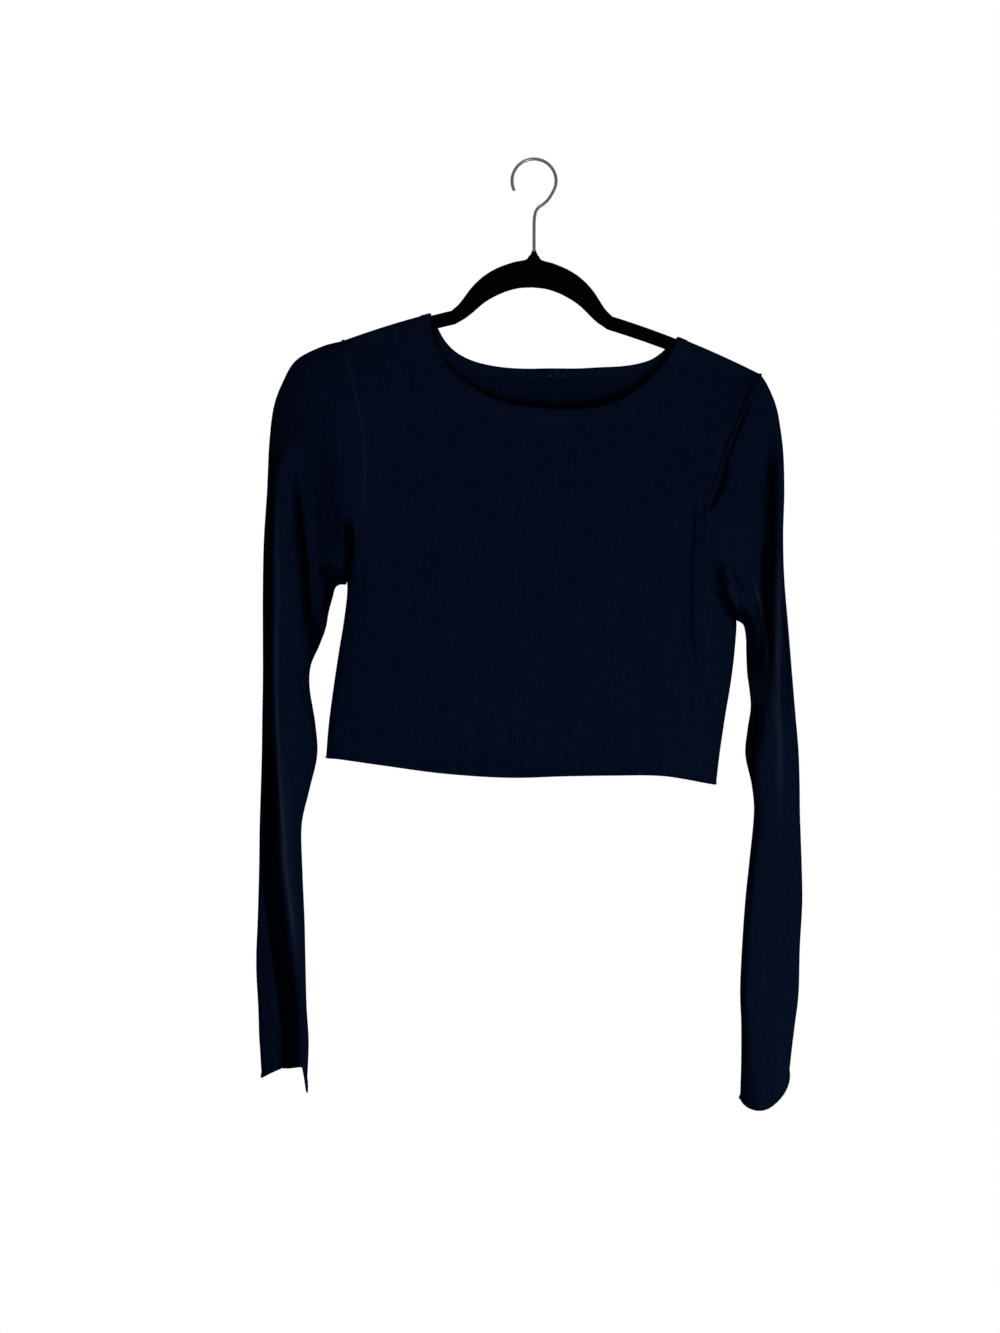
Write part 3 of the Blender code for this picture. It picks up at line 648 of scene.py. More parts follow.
def knit_pattern():
    """Wales of a rib knit with their loops, and the streaks of an uneven yarn, over a flat layout in metres."""
    group = bpy.data.node_groups.new("rib_knit", "ShaderNodeTree")
    for name, way, kind in (
        ("Layout", "INPUT", "Vector"), ("Wales per metre", "INPUT", "Float"), ("Courses per metre", "INPUT", "Float"),
        ("Height", "OUTPUT", "Float"), ("Crest", "OUTPUT", "Float"), ("Streak", "OUTPUT", "Float"),
    ):  # fmt: skip
        group.interface.new_socket(name, in_out=way, socket_type="NodeSocket" + kind)
    nodes, links = group.nodes, group.links
    given = nodes.new("NodeGroupInput").outputs
    result = nodes.new("NodeGroupOutput").inputs
    apart = nodes.new("ShaderNodeSeparateXYZ")
    links.new(given["Layout"], apart.inputs["Vector"])
    wales = math_node(group, "MULTIPLY", apart.outputs["X"], given["Wales per metre"])
    wave = math_node(group, "COSINE", math_node(group, "MULTIPLY", wales, 2 * math.pi))
    crest = math_node(group, "MULTIPLY_ADD", wave, 0.5, 0.5)
    inside = math_node(group, "PINGPONG", wales, 0.5)
    courses = math_node(group, "MULTIPLY", apart.outputs["Y"], given["Courses per metre"])
    loops = math_node(group, "ADD", courses, math_node(group, "MULTIPLY", inside, LOOP_SLANT))
    loops = math_node(group, "COSINE", math_node(group, "MULTIPLY", loops, 2 * math.pi))
    loops = math_node(group, "MULTIPLY_ADD", loops, LOOP_HEIGHT, LOOP_HEIGHT)
    height = math_node(group, "ADD", crest, math_node(group, "MULTIPLY", loops, crest))
    uneven = 0.0
    for to_wale, to_course, detail, share in YARN_GRAINS:
        place = nodes.new("ShaderNodeCombineXYZ")
        links.new(math_node(group, "MULTIPLY", wales, to_wale), place.inputs["X"])
        links.new(math_node(group, "MULTIPLY", courses, to_course), place.inputs["Y"])
        grain = noise_node(group, place.outputs["Vector"], scale=1.0, detail=detail)
        uneven = math_node(group, "MULTIPLY_ADD", grain, share, uneven)
    links.new(height, result["Height"])
    links.new(crest, result["Crest"])
    links.new(uneven, result["Streak"])
    return group


KNIT_PATTERN = knit_pattern()


def knit_finish(name, wale_pitch, bump, crest_light_and_shade):
    """Navy cotton rib knit: matt, with streaks of uneven yarn, light and shade painted on its crests and grooves,
    and a painted highlight or painted shade where the cloth's attribute of painted light asks for one.
    """
    made, tree, shader = new_finish(name)
    shader.inputs["Specular IOR Level"].default_value = 0.0
    layout = tree.nodes.new("ShaderNodeUVMap")
    knit = tree.nodes.new("ShaderNodeGroup")
    knit.node_tree = KNIT_PATTERN
    knit.inputs["Wales per metre"].default_value = 1000 / wale_pitch
    knit.inputs["Courses per metre"].default_value = 1000 / COURSE_PITCH
    tree.links.new(layout.outputs["UV"], knit.inputs["Layout"])
    crest = knit.outputs["Crest"]
    # Light and shade painted across each rib, then the yarn's own streaks
    shade = math_node(tree, "MULTIPLY_ADD", crest, crest_light_and_shade, YARN_MIDDLE - crest_light_and_shade / 2)
    shade = math_node(tree, "MULTIPLY_ADD", knit.outputs["Streak"], YARN_CONTRAST, shade)
    colour = colour_node(tree, shade, SHADED_GROOVE_AND_DARK_YARN_COLOUR, LIT_CREST_AND_PALE_YARN_COLOUR, low=0.2)
    # The attribute of light painted into the colour: a highlight above 0, shade below 0
    painted_light = tree.nodes.new("ShaderNodeAttribute")
    painted_light.attribute_name = "painted_light"
    for sign, painted_colour in ((1, PAINTED_HIGHLIGHT_COLOUR), (-1, PAINTED_SHADE_COLOUR)):
        mixed = tree.nodes.new("ShaderNodeMix")
        mixed.data_type = "RGBA"
        share, first, second = mixed.inputs[0], mixed.inputs[6], mixed.inputs[7]  # those that a colour mix uses
        tree.links.new(math_node(tree, "MULTIPLY", painted_light.outputs["Fac"], sign), share)
        tree.links.new(colour, first)
        second.default_value = painted_colour
        colour = mixed.outputs[2]
    tree.links.new(colour, shader.inputs["Base Color"])
    tree.links.new(range_node(tree, crest, 0.46, 0.40), shader.inputs["Roughness"])
    tree.links.new(bump_node(tree, knit.outputs["Height"], bump, distance=0.0005), shader.inputs["Normal"])
    return made


BODY_KNIT = knit_finish("navy_rib_knit", WALE_PITCH, bump=0.09, crest_light_and_shade=0.12)


def panel(face):
    """The front or the back, as one piece of cloth with light and shade painted into its colour."""
    u, z = panel_places(face)
    points = body_points(face, u, z)
    # Highlight and shade painted into the colour, on the outer side and on the inner side
    painted_light, painted_light_inside = (creased(PAINTED_LIGHT_ROWS[rows], points[..., 0], points[..., 2]) for rows in (face, "inside " + face))
    made = cloth(face + "_panel", points, u, z, painted_light, CLOTH_WALL, flipped=face == "back", painted_light_inside=painted_light_inside)
    made.data.materials.append(BODY_KNIT)
    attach(made, "root")
    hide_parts(face)
    return made


back = panel("back")

# ---- Front --------------------------------------------------------------------------------------------------------
# The same panel with a deeper scoop. It hangs from the arms in slow folds, and one sharp crease runs down from
# the armhole on the wearer's left.
BODY_CREASE = (
    (145.6, -300), (148.4, -331), (148, -355), (146.4, -379), (146.4, -402), (147.3, -426), (148.4, -450),
    (153.2, -481), (159, -507),
)  # fmt: skip
ELBOW_CREASE = (
    (227.6, -391), (226.7, -414), (225.7, -438), (224.5, -474), (223.6, -509), (225.9, -535), (226.8, -568),
)  # fmt: skip
CREASES["front"] = (
    # across the body
    (16, 12, 1.6, ((145, -296), (148, -400), (160, -512))),
    (4, 3.5, 2.2, BODY_CREASE, "sharp"),
    (35, 35, 0.8, ((-128, -330), (-129, -445), (-140, -560))),
    (42, 42, 0.7, ((18, -430), (20, -520), (30, -610))),
    # down the wearer's right sleeve
    (5, 12, -1.6, (
        (-237, -270), (-237, -316), (-236, -359), (-235, -398), (-238, -437), (-239, -483), (-238.5, -523),
        (-236.5, -571), (-233, -627), (-228, -690), (-222, -735),
    ), "sharp"),
    (11, 6, 9.0, (
        (-222, -290), (-219.5, -329), (-218, -349), (-216, -365), (-214.5, -384), (-213.5, -398), (-213, -413),
        (-211, -433), (-206, -455), (-198, -480), (-186, -520),
    )),
    (8, 6, 4.0, ((-192.5, -296), (-188.6, -329), (-186, -339), (-184, -366))),
    (5, 5, -2.5, ((-200, -300), (-197, -330), (-197, -358), (-196.4, -378), (-195.4, -425))),
    (4, 4, -1.5, ((-185, -300), (-181, -324), (-178, -335), (-173, -352))),
    (6, 6, 9.0, ((-174, -332), (-172, -363), (-178, -396))),
    (18, 20, 22.0, (
        (-259, -660), (-256.5, -706), (-253.5, -737), (-248.5, -773), (-245.5, -790), (-242, -806), (-241, -817),
        (-241.3, -872), (-241.3, -1000),
    ), "sharp"),
    # down the wearer's left sleeve
    (11, 8, 13.0, (
        (209, -262), (212, -285), (215, -308), (217, -325), (218, -355), (218, -415), (217.5, -440), (216, -470),
    )),
    (4, 9, -2.2, ((227, -355), *ELBOW_CREASE, (225, -620)), "sharp"),
    (7, 7, 5.0, ((166, -366), (174, -388), (182, -408))),
    (3.5, 3.5, -3.0, ((181, -384), (189, -405), (192.4, -419), (196, -436))),
    (3.5, 3.5, 3.0, ((184, -376), (195, -403), (197, -424))),
    (4, 4, -2.0, ((165, -386), (169, -400), (174, -410), (181, -419), (187, -432))),
    (7, 7, -1.2, ((200, -384), (211, -419), (216, -445), (215, -471), (210, -492))),
    (9, 9, 7.0, ((190, -414), (200, -440), (206, -456), (207, -474), (202, -500))),
    (10, 8, 7.0, ((208, -485), (207.5, -518), (205, -540), (201, -563), (200, -592))),
    (13, 13, 0.8, ((218, -690), (218.3, -748), (217, -810))),
    # beside the armhole on the wearer's left
    (7, 5, 2.6, ((207, -196), (202, -215.6), (194.9, -237), (185.5, -258.2), (179.5, -277.2), (172, -294))),
    (4, 3, 2.4, ((180, -296), (174.1, -310.8), (164.8, -322.9), (154, -338))),
)  # fmt: skip
# Painted highlights on ridges and painted shade in the folds of the sleeves and body, the underarm pockets and small
# wrinkles above the hem
PAINTED_LIGHT_ROWS["front"] = (
    (5, 4, -1.3, (
        (-246, -230), (-245, -316), (-244.6, -359), (-244.4, -398), (-245, -437), (-245, -483), (-245, -560),
    )),
    (1.8, 3.4, 1.1, (
        (-239, -280), (-238.5, -316), (-238, -359), (-237.5, -398), (-238.5, -437), (-239, -483), (-238.5, -523),
        (-236.5, -571), (-233, -627), (-231.7, -654), (-227, -690), (-224, -718), (-218.3, -758), (-214, -785),
    )),
    (5.5, 4.6, 0.9, ((227, -345), *ELBOW_CREASE, (226, -640))),
    (1.5, 1.5, 0.35, ((178, -250), (176, -256), (169, -287), (164, -302))),
    (2.2, 2.2, 1.7, (
        (203.4, -388), (209, -404.6), (212.2, -416.7), (215, -430.6), (216.2, -451), (215.4, -469.5), (212.6, -485),
    )),
    (1.9, 1.9, 0.45, ((181, -384), (183.6, -390), (188.8, -400), (195.4, -410), (199, -417))),
    (2.2, 2.2, 0.5, ((180, -394), (182.4, -400), (188.4, -411), (191.6, -425), (193, -432))),
    (7, 7, 0.5, ((207, -470), (208, -490), (208.5, -505), (208, -525))),
    (2.2, 2.2, -0.8, ((183, -385), (190, -396), (195.2, -403), (201.2, -412), (205, -421))),
    (2.0, 2.0, 0.35, ((-197, -371), (-187, -378), (-176, -380))),
    (7, 7, -2.2, ((-203, -388), (-194, -388), (-182, -390), (-168, -394))),
    (7, 7, -2.0, ((-190.5, -376), (-191.5, -392), (-192, -408), (-193, -432))),
    (7, 6, -2.0, ((-176, -332), (-172.5, -350), (-171.5, -366), (-173, -385), (-178, -402))),
    (30, 24, -0.5, ((-196, -230), (-193, -305), (-190, -350), (-193, -440), (-199, -495))),
    (6, 7.5, -1.8, (
        (-222, -285), (-220, -321), (-219, -340), (-217.3, -358), (-215, -377), (-214, -395), (-213, -414),
        (-211, -432), (-207.5, -451), (-205.5, -468), (-203, -490),
    )),
    (7, 7, -1.5, ((-210, -422), (-205.5, -436), (-203.5, -452), (-204, -472), (-205, -500))),
    (2.4, 2.4, -0.8, BODY_CREASE),
    (15, 15, -2.2, (
        (-248, -480), (-246.5, -562), (-245.5, -655), (-241.4, -692), (-237.6, -729), (-231.2, -766), (-228.4, -803),
        (-228, -840), (-228, -1000),
    )),
    (14, 14, -0.35, ((-256, -660), (-255, -730), (-252, -790), (-250, -860), (-250, -1000))),
    (7, 10, 0.35, ((-236, -520), (-233, -590), (-230, -655), (-226, -700), (-221, -735), (-214, -790))),
    (8.5, 7.5, -1.8, (
        (173, -374), (174.6, -386), (175.4, -400), (178, -412), (185, -423), (193, -435), (198, -449),
    )),
    (4, 4, -1.2, ((164, -402), (172, -408), (180, -413), (187, -424), (190, -444))),
    (1.8, 1.8, 1.1, ((167, -397), (171, -401.6), (178.4, -412.4), (181, -417))),
    (9, 9, -1.6, ((221.5, -255), (221.5, -290), (220.5, -330), (219, -370), (218.1, -415))),
    (4.6, 4.6, -2.0, ((218.3, -365), (218.1, -400), (218.3, -425), (219, -452), (219.3, -482))),
    (3, 3, -0.7, ((230, -405), (231.5, -425), (233.8, -451), (234.8, -488), (236, -525))),
    (11, 7, -2.0, (
        (190, -411), (194.1, -419.5), (201.5, -432.4), (205.2, -451), (204.3, -474.2), (202.5, -488), (202, -505),
    )),
    (6.5, 6.5, -0.6, (
        (205, -196), (201.5, -213), (197, -229), (190.4, -247), (183, -265), (177, -284), (174, -300),
    )),
    (7, 6, -0.7, (
        (205, -200), (203, -213), (200.5, -227), (195, -241), (187.3, -257), (181, -272), (178, -285), (176, -300),
        (172, -313), (165, -325), (150, -340),
    )),
    (3.5, 3.5, -0.3, (
        (-124, -512), (-112, -503), (-98, -501), (-86, -506), (-84, -516), (-96, -524), (-116, -520),
    )),
    (3.5, 3.0, -0.3, ((46, -536), (60, -534), (76, -536), (92, -533))),
    (3.0, 3.5, 0.2, ((44, -541), (60, -540), (78, -542), (94, -539))),
    (3.5, 3.0, -0.3, ((64, -525), (84, -523), (104, -524), (120, -520))),
    (44, 44, 0.08, ((222, -480), (222, -640), (220, -800), (220, -1050))),
    (5, 4, -1.0, ((180, -290), (173, -311), (165, -324), (152, -338))),
    (6, 4, -1.1, ((208, -494), (206, -530), (203, -560), (203, -590))),
)  # fmt: skip
front = panel("front")

# ---- Hem ribs -----------------------------------------------------------------------------------------------------
# A welt of wider ribs along the lower edge of each panel, knitted on in the same yarn and turned in at the bottom.
# Its ribs are real relief and keep an even spacing along the cloth.
HEM_RIBS = 98
RIB_COLUMNS = 6
HEM_RIB_RAISE = 0.55
HEM_RIB_START = 16.0  # how far down the ribs reach their full height
HEM_RIB_WALL = 1.5
HEM_STEPS = 1200
RIB_PITCH = 3.8
HEM_KNIT = knit_finish("navy_hem_rib", RIB_PITCH, bump=0.15, crest_light_and_shade=0.7)
HEM_DROPS = np.array((0.0, 2, 4, 6, 9, 13, 18, 23, 28, 32, 35, 37, 38.2, 39.0, 39.6, 40.0, 39.8))
HEM_TURN_IN = np.array((0.0, 0, 0, 0, 0, 0, 0, 0, 0, 0, 0, 0, 0.10, 0.30, 0.65, 1.15, 1.7))


def outward(points):
    """Unit vectors square to a grid of points."""
    down = np.gradient(points, axis=0)
    along = np.gradient(points, axis=1)
    normal = np.cross(down, along)
    return normal / np.linalg.norm(normal, axis=-1, keepdims=True)


def hem_rib(face):
    """The ribbed welt below one face, with its ribs at an even spacing along the cloth."""
    height = HEM_LEVELS[0][1] + HEM_RIB_HEIGHT / 2
    left, right = float(half_width(-1, height)), float(half_width(1, height))
    turns = np.linspace(0.0, math.pi, HEM_STEPS + 1)
    fine = (right - left - (left + right) * np.cos(turns)) / 2
    run = run_along(body_points(face, fine, height + 0 * fine))
    count = HEM_RIBS * RIB_COLUMNS
    even = np.linspace(0, run[-1], count + 1)
    places = np.interp(even, run, fine)
    z = hem_height(face, places)[None] + HEM_RIB_HEIGHT - HEM_DROPS[:, None]
    u = np.where(places < 0, places * half_width(-1, z) / left, places * half_width(1, z) / right)
    points = body_points(face, u, z)
    normal = outward(points) * (1 if face == "back" else -1)
    normal[:, [0, -1], 1] = 0
    ribs = 0.5 - 0.5 * np.cos(2 * math.pi * np.arange(count + 1) / RIB_COLUMNS)
    raised = HEM_RIB_RAISE * ribs[None] * rise(HEM_DROPS / HEM_RIB_START)[:, None]
    points = points + normal * (raised - HEM_TURN_IN[:, None])[..., None]
    name = "hem_rib_" + face
    made = cloth(name + "_knit", points, even[None] + 0 * z, z, 0 * z, HEM_RIB_WALL, flipped=face == "back")
    made.data.materials.append(HEM_KNIT)
    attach(made, "root")
    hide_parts(name)
    return made


hem_front = hem_rib("front")
hem_back = hem_rib("back")

# ---- Neckband -----------------------------------------------------------------------------------------------------
# A strip of the same knit folded over the neck's raw edge and closed at centre back. It turns over both arms, and
# the stitches along its lower edge hold it down.
BAND_SECTION = (  # (down from the edge, out from the cloth)
    (10.6, -0.3), (10.3, 0.1), (9.9, 0.42), (9.2, 0.58), (6.8, 0.62), (4.2, 0.62), (2.2, 0.6), (1.1, 0.5),
    (0.45, 0.22), (0.12, -0.1), (0.0, -0.35), (0.12, -0.62), (0.5, -0.95), (1.4, -1.18), (4.5, -1.2), (8.2, -1.2),
    (10.2, -1.15), (10.6, -0.8),
)  # fmt: skip
BAND_MIDDLE = 5  # the section's place in the middle of the band's outer side
BAND_INNER_SIDE = -0.3  # places of the section further in than this
BAND_STEPS = 192
DOWNWARD_STEP = 0.5
BAND_KNIT = knit_finish("navy_neckband_knit", WALE_PITCH, bump=0.3, crest_light_and_shade=0.3)


def neck_ring(outset):
    """Plumb points round the whole neck at an outset: along the front from the left, then back along the back."""
    lines = []
    for face in ("front", "back"):
        angles = neck_angles(BAND_STEPS)
        u, z = neck_places(face, angles, outset)
        points = body_points(face, u, z)
        points[[0, -1], 1] = 0.0
        lines.append(points[:-1] if face == "front" else points[:0:-1])
    return np.vstack(lines)


def neck_surface(outsets):
    """Points and outward unit vectors of the cloth round the neck at several outsets."""
    points = np.array([neck_ring(outset) for outset in outsets])
    below = np.array([neck_ring(outset + DOWNWARD_STEP) for outset in outsets])
    along = np.roll(points, -1, axis=1) - np.roll(points, 1, axis=1)
    normal = np.cross(below - points, along)
    return points, normal / np.linalg.norm(normal, axis=-1, keepdims=True)


def face_outward():
    """Turns all faces of the closed piece made last outward."""
    bpy.ops.object.mode_set(mode="EDIT")
    bpy.ops.mesh.select_all(action="SELECT")
    bpy.ops.mesh.normals_make_consistent(inside=False)
    bpy.ops.object.mode_set(mode="OBJECT")


section = np.array(BAND_SECTION + BAND_SECTION[:1])
surface, normals = neck_surface(section[:, 0])
band_points = surface + normals * section[:, 1][:, None, None]
band_points = np.concatenate([band_points, band_points[:, :1]], axis=1)
round_neck, through_band = np.meshgrid(run_along(band_points[BAND_MIDDLE]), run_along(section))
inside_back = (section[:, 1] < BAND_INNER_SIDE)[:, None] & (band_points[..., 1] > 0)
# Painted shade on the band's inner side at the back, where the front's neck edge would shade it
shaded = creased(PAINTED_LIGHT_ROWS["inside neckband"], band_points[..., 0], band_points[..., 2])
painted_light = np.where(inside_back, shaded, 0)
neckband = cloth("neckband_knit", band_points, round_neck, through_band, painted_light, closed=True)
face_outward()
neckband.data.materials.append(BAND_KNIT)
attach(neckband, "root")
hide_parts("neckband")

# ---- Sleeves ------------------------------------------------------------------------------------------------------
# Two long tubes of the same knit set into the armholes. They hang plumb from the shoulders in long folds and end in
# a plain turned cuff, where the ribs stand up a little.
SLEEVE_RINGS = 220
ARMHOLE_REACH = 0.30
SLEEVE_FLATNESS = 0.9
EVEN_FROM = 0.35  # share of the sleeve from which its columns grow even
EVEN_GROWTH = 0.3
CUFF_REACH = 0.9
CUFF_RISE = {-1: {"front": 29.5, "back": 25.0}, 1: {"front": -17.4, "back": -15.0}}
CUFF_RIB_COLUMNS = 4
CUFF_RIB_RAISE = 0.2
CUFF_RIB_SHARE = 0.945
CUFF_RIB_GROWTH = 0.02
CUFF_ROLL_SHARE = 0.997
CUFF_ROLL_DEPTH = 1.3
NARROWEST_HALF = 4
TYPICAL_HALF_DEPTH = 28
RIGHT_SLEEVE = (  # (outer x, outer z, inner x, inner z, half depth)
    (-200, -175, -176.8, -398.2, 25),
    (-224, -188, -180.8, -398.5, 27),
    (-237, -210, -184.3, -399.4, 28),
    (-245, -233, -187.2, -402.5, 29),
    (-249, -267, -189.2, -410, 29),
    (-251, -310, -193, -424, 30),
    (-254, -357, -196, -440, 30),
    (-255, -404, -202, -456, 30),
    (-255, -451, -210, -475, 30),
    (-255, -488, -211, -496, 29),
    (-255.6, -526, -205.8, -529, 28),
    (-256, -559, -204, -559, 28),
    (-257, -592, -211.4, -592, 28),
    (-258, -625, -218.6, -625, 28),
    (-258.6, -667, -218, -667, 28),
    (-259.9, -714, -216, -714, 28),
    (-261.3, -756, -215, -756, 28),
    (-259.4, -794, -214, -795, 28),
    (-258.4, -827, -212, -833, 28),
    (-256, -862, -213.8, -876, 27),
)
LEFT_SLEEVE = (
    (217, -207, 187.3, -424, 25),
    (223, -219, 188.6, -429, 27),
    (228, -233, 190.6, -432.4, 28),
    (231, -249, 194, -434, 29),
    (234, -274, 197.6, -438, 29),
    (235, -310, 199.6, -449, 30),
    (234, -352, 200.1, -465, 30),
    (235.2, -394, 200.9, -483, 30),
    (239.1, -441, 203.2, -500, 30),
    (242.7, -488, 204, -515, 30),
    (245.3, -521, 201, -535, 29),
    (247.8, -554, 199, -559, 29),
    (248.5, -587, 205, -588, 28),
    (248.6, -615, 207, -615, 28),
    (250, -657, 203, -657, 28),
    (250.6, -695, 199, -695, 28),
    (248.3, -737, 196, -737, 28),
    (247.2, -780, 194, -780, 28),
    (244, -808, 195, -812, 28),
    (241, -832, 195, -846, 28),
    (239, -854, 194, -879.2, 27),
)
# Where the front of a sleeve comes furthest out, as a share from its outer to its inner edge, by height
SLEEVE_CREST = {
    -1: (
        (-170, 0.5), (-230, 0.42), (-281, 0.22), (-330, 0.2), (-398, 0.23), (-468, 0.28), (-507, 0.29), (-555, 0.31),
        (-587, 0.42), (-611, 0.5), (-655, 0.6), (-690, 0.7), (-719, 0.77), (-759, 0.87), (-794, 0.93), (-840, 0.96),
        (-880, 0.96),
    ),
    1: ((-180, 0.5), (-900, 0.5)),
}  # fmt: skip
# How round the crest is outside and inside it, by height: 1 is keen, 2 round, more is flat
CREST_POWER = {
    -1: ((-170, 1.12, 1.9), (-900, 1.12, 1.9)),
    1: ((-170, 2, 2), (-520, 2, 2), (-620, 3, 6), (-815, 3, 6), (-860, 2, 2), (-900, 2, 2)),
}


def sleeve_points(side, sections):
    """Rings of plumb points from the armhole to the cuff, each starting and ending at the underarm."""
    turn = np.linspace(-math.pi, math.pi, 2 * ARMHOLE_STEPS + 1)
    heights = armhole_heights(side)
    heights = np.concatenate([heights[::-1], heights[1:]])
    seam_x, seam_z = leant(side * half_width(side, heights), heights)
    top_x, top_z = seam_x[ARMHOLE_STEPS], seam_z[ARMHOLE_STEPS]
    stations = [(0, top_x, top_z, seam_x[0], seam_z[0], ARMHOLE_DEPTH)]
    stations += [(number + 1, *section) for number, section in enumerate(sections)]
    share = np.linspace(0, 1, SLEEVE_RINGS + 1)
    ends = [through(stations, (len(stations) - 1) * share, column)[:, None] for column in range(1, 6)]
    outer_x, outer_z, inner_x, inner_z, depth = ends
    reached = rise(share / ARMHOLE_REACH)[:, None]
    power = 1 - (1 - SLEEVE_FLATNESS) * reached
    across = np.sign(np.cos(turn)) * np.abs(np.cos(turn)) ** power
    out = np.sign(np.sin(turn)) * np.abs(np.sin(turn)) ** power
    x = (outer_x + inner_x) / 2 + (outer_x - inner_x) / 2 * across
    z = (outer_z + inner_z) / 2 + (outer_z - inner_z) / 2 * across
    chord = (top_x + seam_x[0]) / 2 + (top_x - seam_x[0]) / 2 * np.cos(turn)
    x = x + (1 - reached) * (seam_x - chord)
    crest = through(SLEEVE_CREST[side], z, 1)
    place = (1 - across) / 2
    off_crest = np.where(place < crest, (crest - place) / crest, (place - crest) / (1 - crest))
    keenness = np.where(place < crest, through(CREST_POWER[side], z, 1), through(CREST_POWER[side], z, 2))
    front = (1 - off_crest**keenness) ** (1 / keenness)
    out = np.where(out > 0, out * (1 - reached) + front * reached, out)
    y = -depth * out
    near_cuff = rise((share - CUFF_REACH) / (1 - CUFF_REACH))[:, None]
    lift = np.where(out > 0, CUFF_RISE[side]["front"], CUFF_RISE[side]["back"])
    points = np.stack([x, y, z], axis=-1)
    points[..., 2] += lift * np.abs(out) * near_cuff

    evened = rise((share - EVEN_FROM) / EVEN_GROWTH)
    for number, ring in enumerate(points):
        own = run_along(ring)
        own /= own[-1]
        wanted = own * (1 - evened[number]) + np.linspace(0, 1, len(own)) * evened[number]
        points[number] = np.column_stack([np.interp(wanted, own, column) for column in ring.T])
    x, y, z = points[..., 0], points[..., 1], points[..., 2]
    depth = np.where(y < 0, hung_depth("front", x, z, np.abs(y)), hung_depth("back", x, z, np.abs(y)))
    points[..., 1] = np.sign(y) * depth
    return points


def round_the_arm(points, side):
    """How far round the sleeve each point lies at its own height, from the outer line, so that wales run down it."""
    outer, under = points[:, ARMHOLE_STEPS], points[:, 0]
    inner = np.vstack([points[0, :ARMHOLE_STEPS][::-1], under[1:]])
    x, y, z = points[..., 0], points[..., 1], points[..., 2]
    outer_x = np.interp(-z, -outer[:, 2], outer[:, 0])
    inner_x = np.interp(-z, -inner[:, 2], inner[:, 0])
    half = np.maximum(np.abs(outer_x - inner_x) / 2, NARROWEST_HALF)
    across = np.clip((x - (outer_x + inner_x) / 2) * side / half, -1, 1)
    turn = np.arccos(across)
    return np.where(y < 0, 1, -1) * turn * (half + TYPICAL_HALF_DEPTH) / 2


def sleeve(name, side, sections):
    """One sleeve with the ribs and the turned edge of its cuff."""
    points = sleeve_points(side, sections)
    across = round_the_arm(points, side)
    share = np.linspace(0, 1, len(points))
    ribs = 0.5 + 0.5 * np.cos(2 * math.pi * np.arange(points.shape[1]) / CUFF_RIB_COLUMNS)
    raised = CUFF_RIB_RAISE * ribs[None] * rise((share - CUFF_RIB_SHARE) / CUFF_RIB_GROWTH)[:, None]
    raised -= CUFF_ROLL_DEPTH * rise((share - CUFF_ROLL_SHARE) / (1 - CUFF_ROLL_SHARE))[:, None]
    normal = outward(points) * side
    normal[:, [0, -1]] = normal[:, [1, -2]].mean(axis=1, keepdims=True)
    normal /= np.linalg.norm(normal, axis=-1, keepdims=True)
    points = points + normal * raised[..., None]
    # Painted highlights and painted shade on the sleeve's front, from the front's rows
    painted_light = np.where(points[..., 1] < 0, creased(PAINTED_LIGHT_ROWS["front"], points[..., 0], points[..., 2]), 0)
    made = cloth(name + "_knit", points, across, points[..., 2], painted_light, CLOTH_WALL, closed=True, flipped=side > 0)
    made.data.materials.append(BODY_KNIT)
    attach(made, "root")
    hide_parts(name)
    return made


left_sleeve = sleeve("left_sleeve", 1, LEFT_SLEEVE)
right_sleeve = sleeve("right_sleeve", -1, RIGHT_SLEEVE)

# ---- Armhole seams ------------------------------------------------------------------------------------------------
# The seam that joins each sleeve to the body, sewn on the inside. The layers of knit in it make a low rounded ridge
# all round the armhole.
SEAM_HALF_WIDTH = 1.6
SEAM_HEIGHT = 0.85
SEAM_SINK = 0.5
SEAM_SIDES = 12
SEAM_PAINTED_LIGHT = {  # (z, share of painted highlight above 0 or painted shade below 0)
    -1: ((-400, -0.8), (-350, -0.3), (-325, 0.2), (-300, 0.4), (-190, 0.4), (-172, 0.1)),
    1: ((-430, -0.6), (-300, 0.1), (-285, -0.3), (-170, -0.2)),
}


def armhole_loop(side):
    """Plumb points round an armhole with unit vectors out from it and across the seam."""
    heights = armhole_heights(side)
    u = side * half_width(side, heights)
    loop = np.vstack([body_points("front", u, heights), body_points("back", u, heights)[-2:0:-1]])
    along = np.roll(loop, -2, axis=0) - np.roll(loop, 2, axis=0)
    out = np.cross(along, (1, 0, 0))
    out *= np.sign((out * (loop - loop.mean(0))).sum(1, keepdims=True).mean())
    out /= np.linalg.norm(out, axis=1, keepdims=True)
    across = np.cross(along, out)
    return loop, out, across / np.linalg.norm(across, axis=1, keepdims=True)


def armhole_seam(name, side):
    """The ridge round one armhole, with highlight and shade painted into its colour where it crosses folds."""
    loop, out, across = armhole_loop(side)
    turns = np.linspace(0, 2 * math.pi, SEAM_SIDES + 1)[:, None, None]
    rise_out = (SEAM_HEIGHT - SEAM_SINK) / 2 + (SEAM_HEIGHT + SEAM_SINK) / 2 * np.sin(turns)
    points = loop[None] + across * SEAM_HALF_WIDTH * np.cos(turns) + out * rise_out
    points = np.concatenate([points, points[:, :1]], axis=1)
    round_arm, over = np.meshgrid(run_along(points[0]), turns.ravel() * SEAM_HALF_WIDTH)
    heights, shares = zip(*SEAM_PAINTED_LIGHT[side])
    # Highlight and shade painted into the seam's colour on the front, by height
    painted_light = np.where(points[..., 1] < 0, np.interp(points[..., 2], heights, shares), 0)
    made = cloth(name, points, over, round_arm, painted_light, closed=True)
    face_outward()
    made.data.materials.append(BODY_KNIT)
    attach(made, "root")
    return made


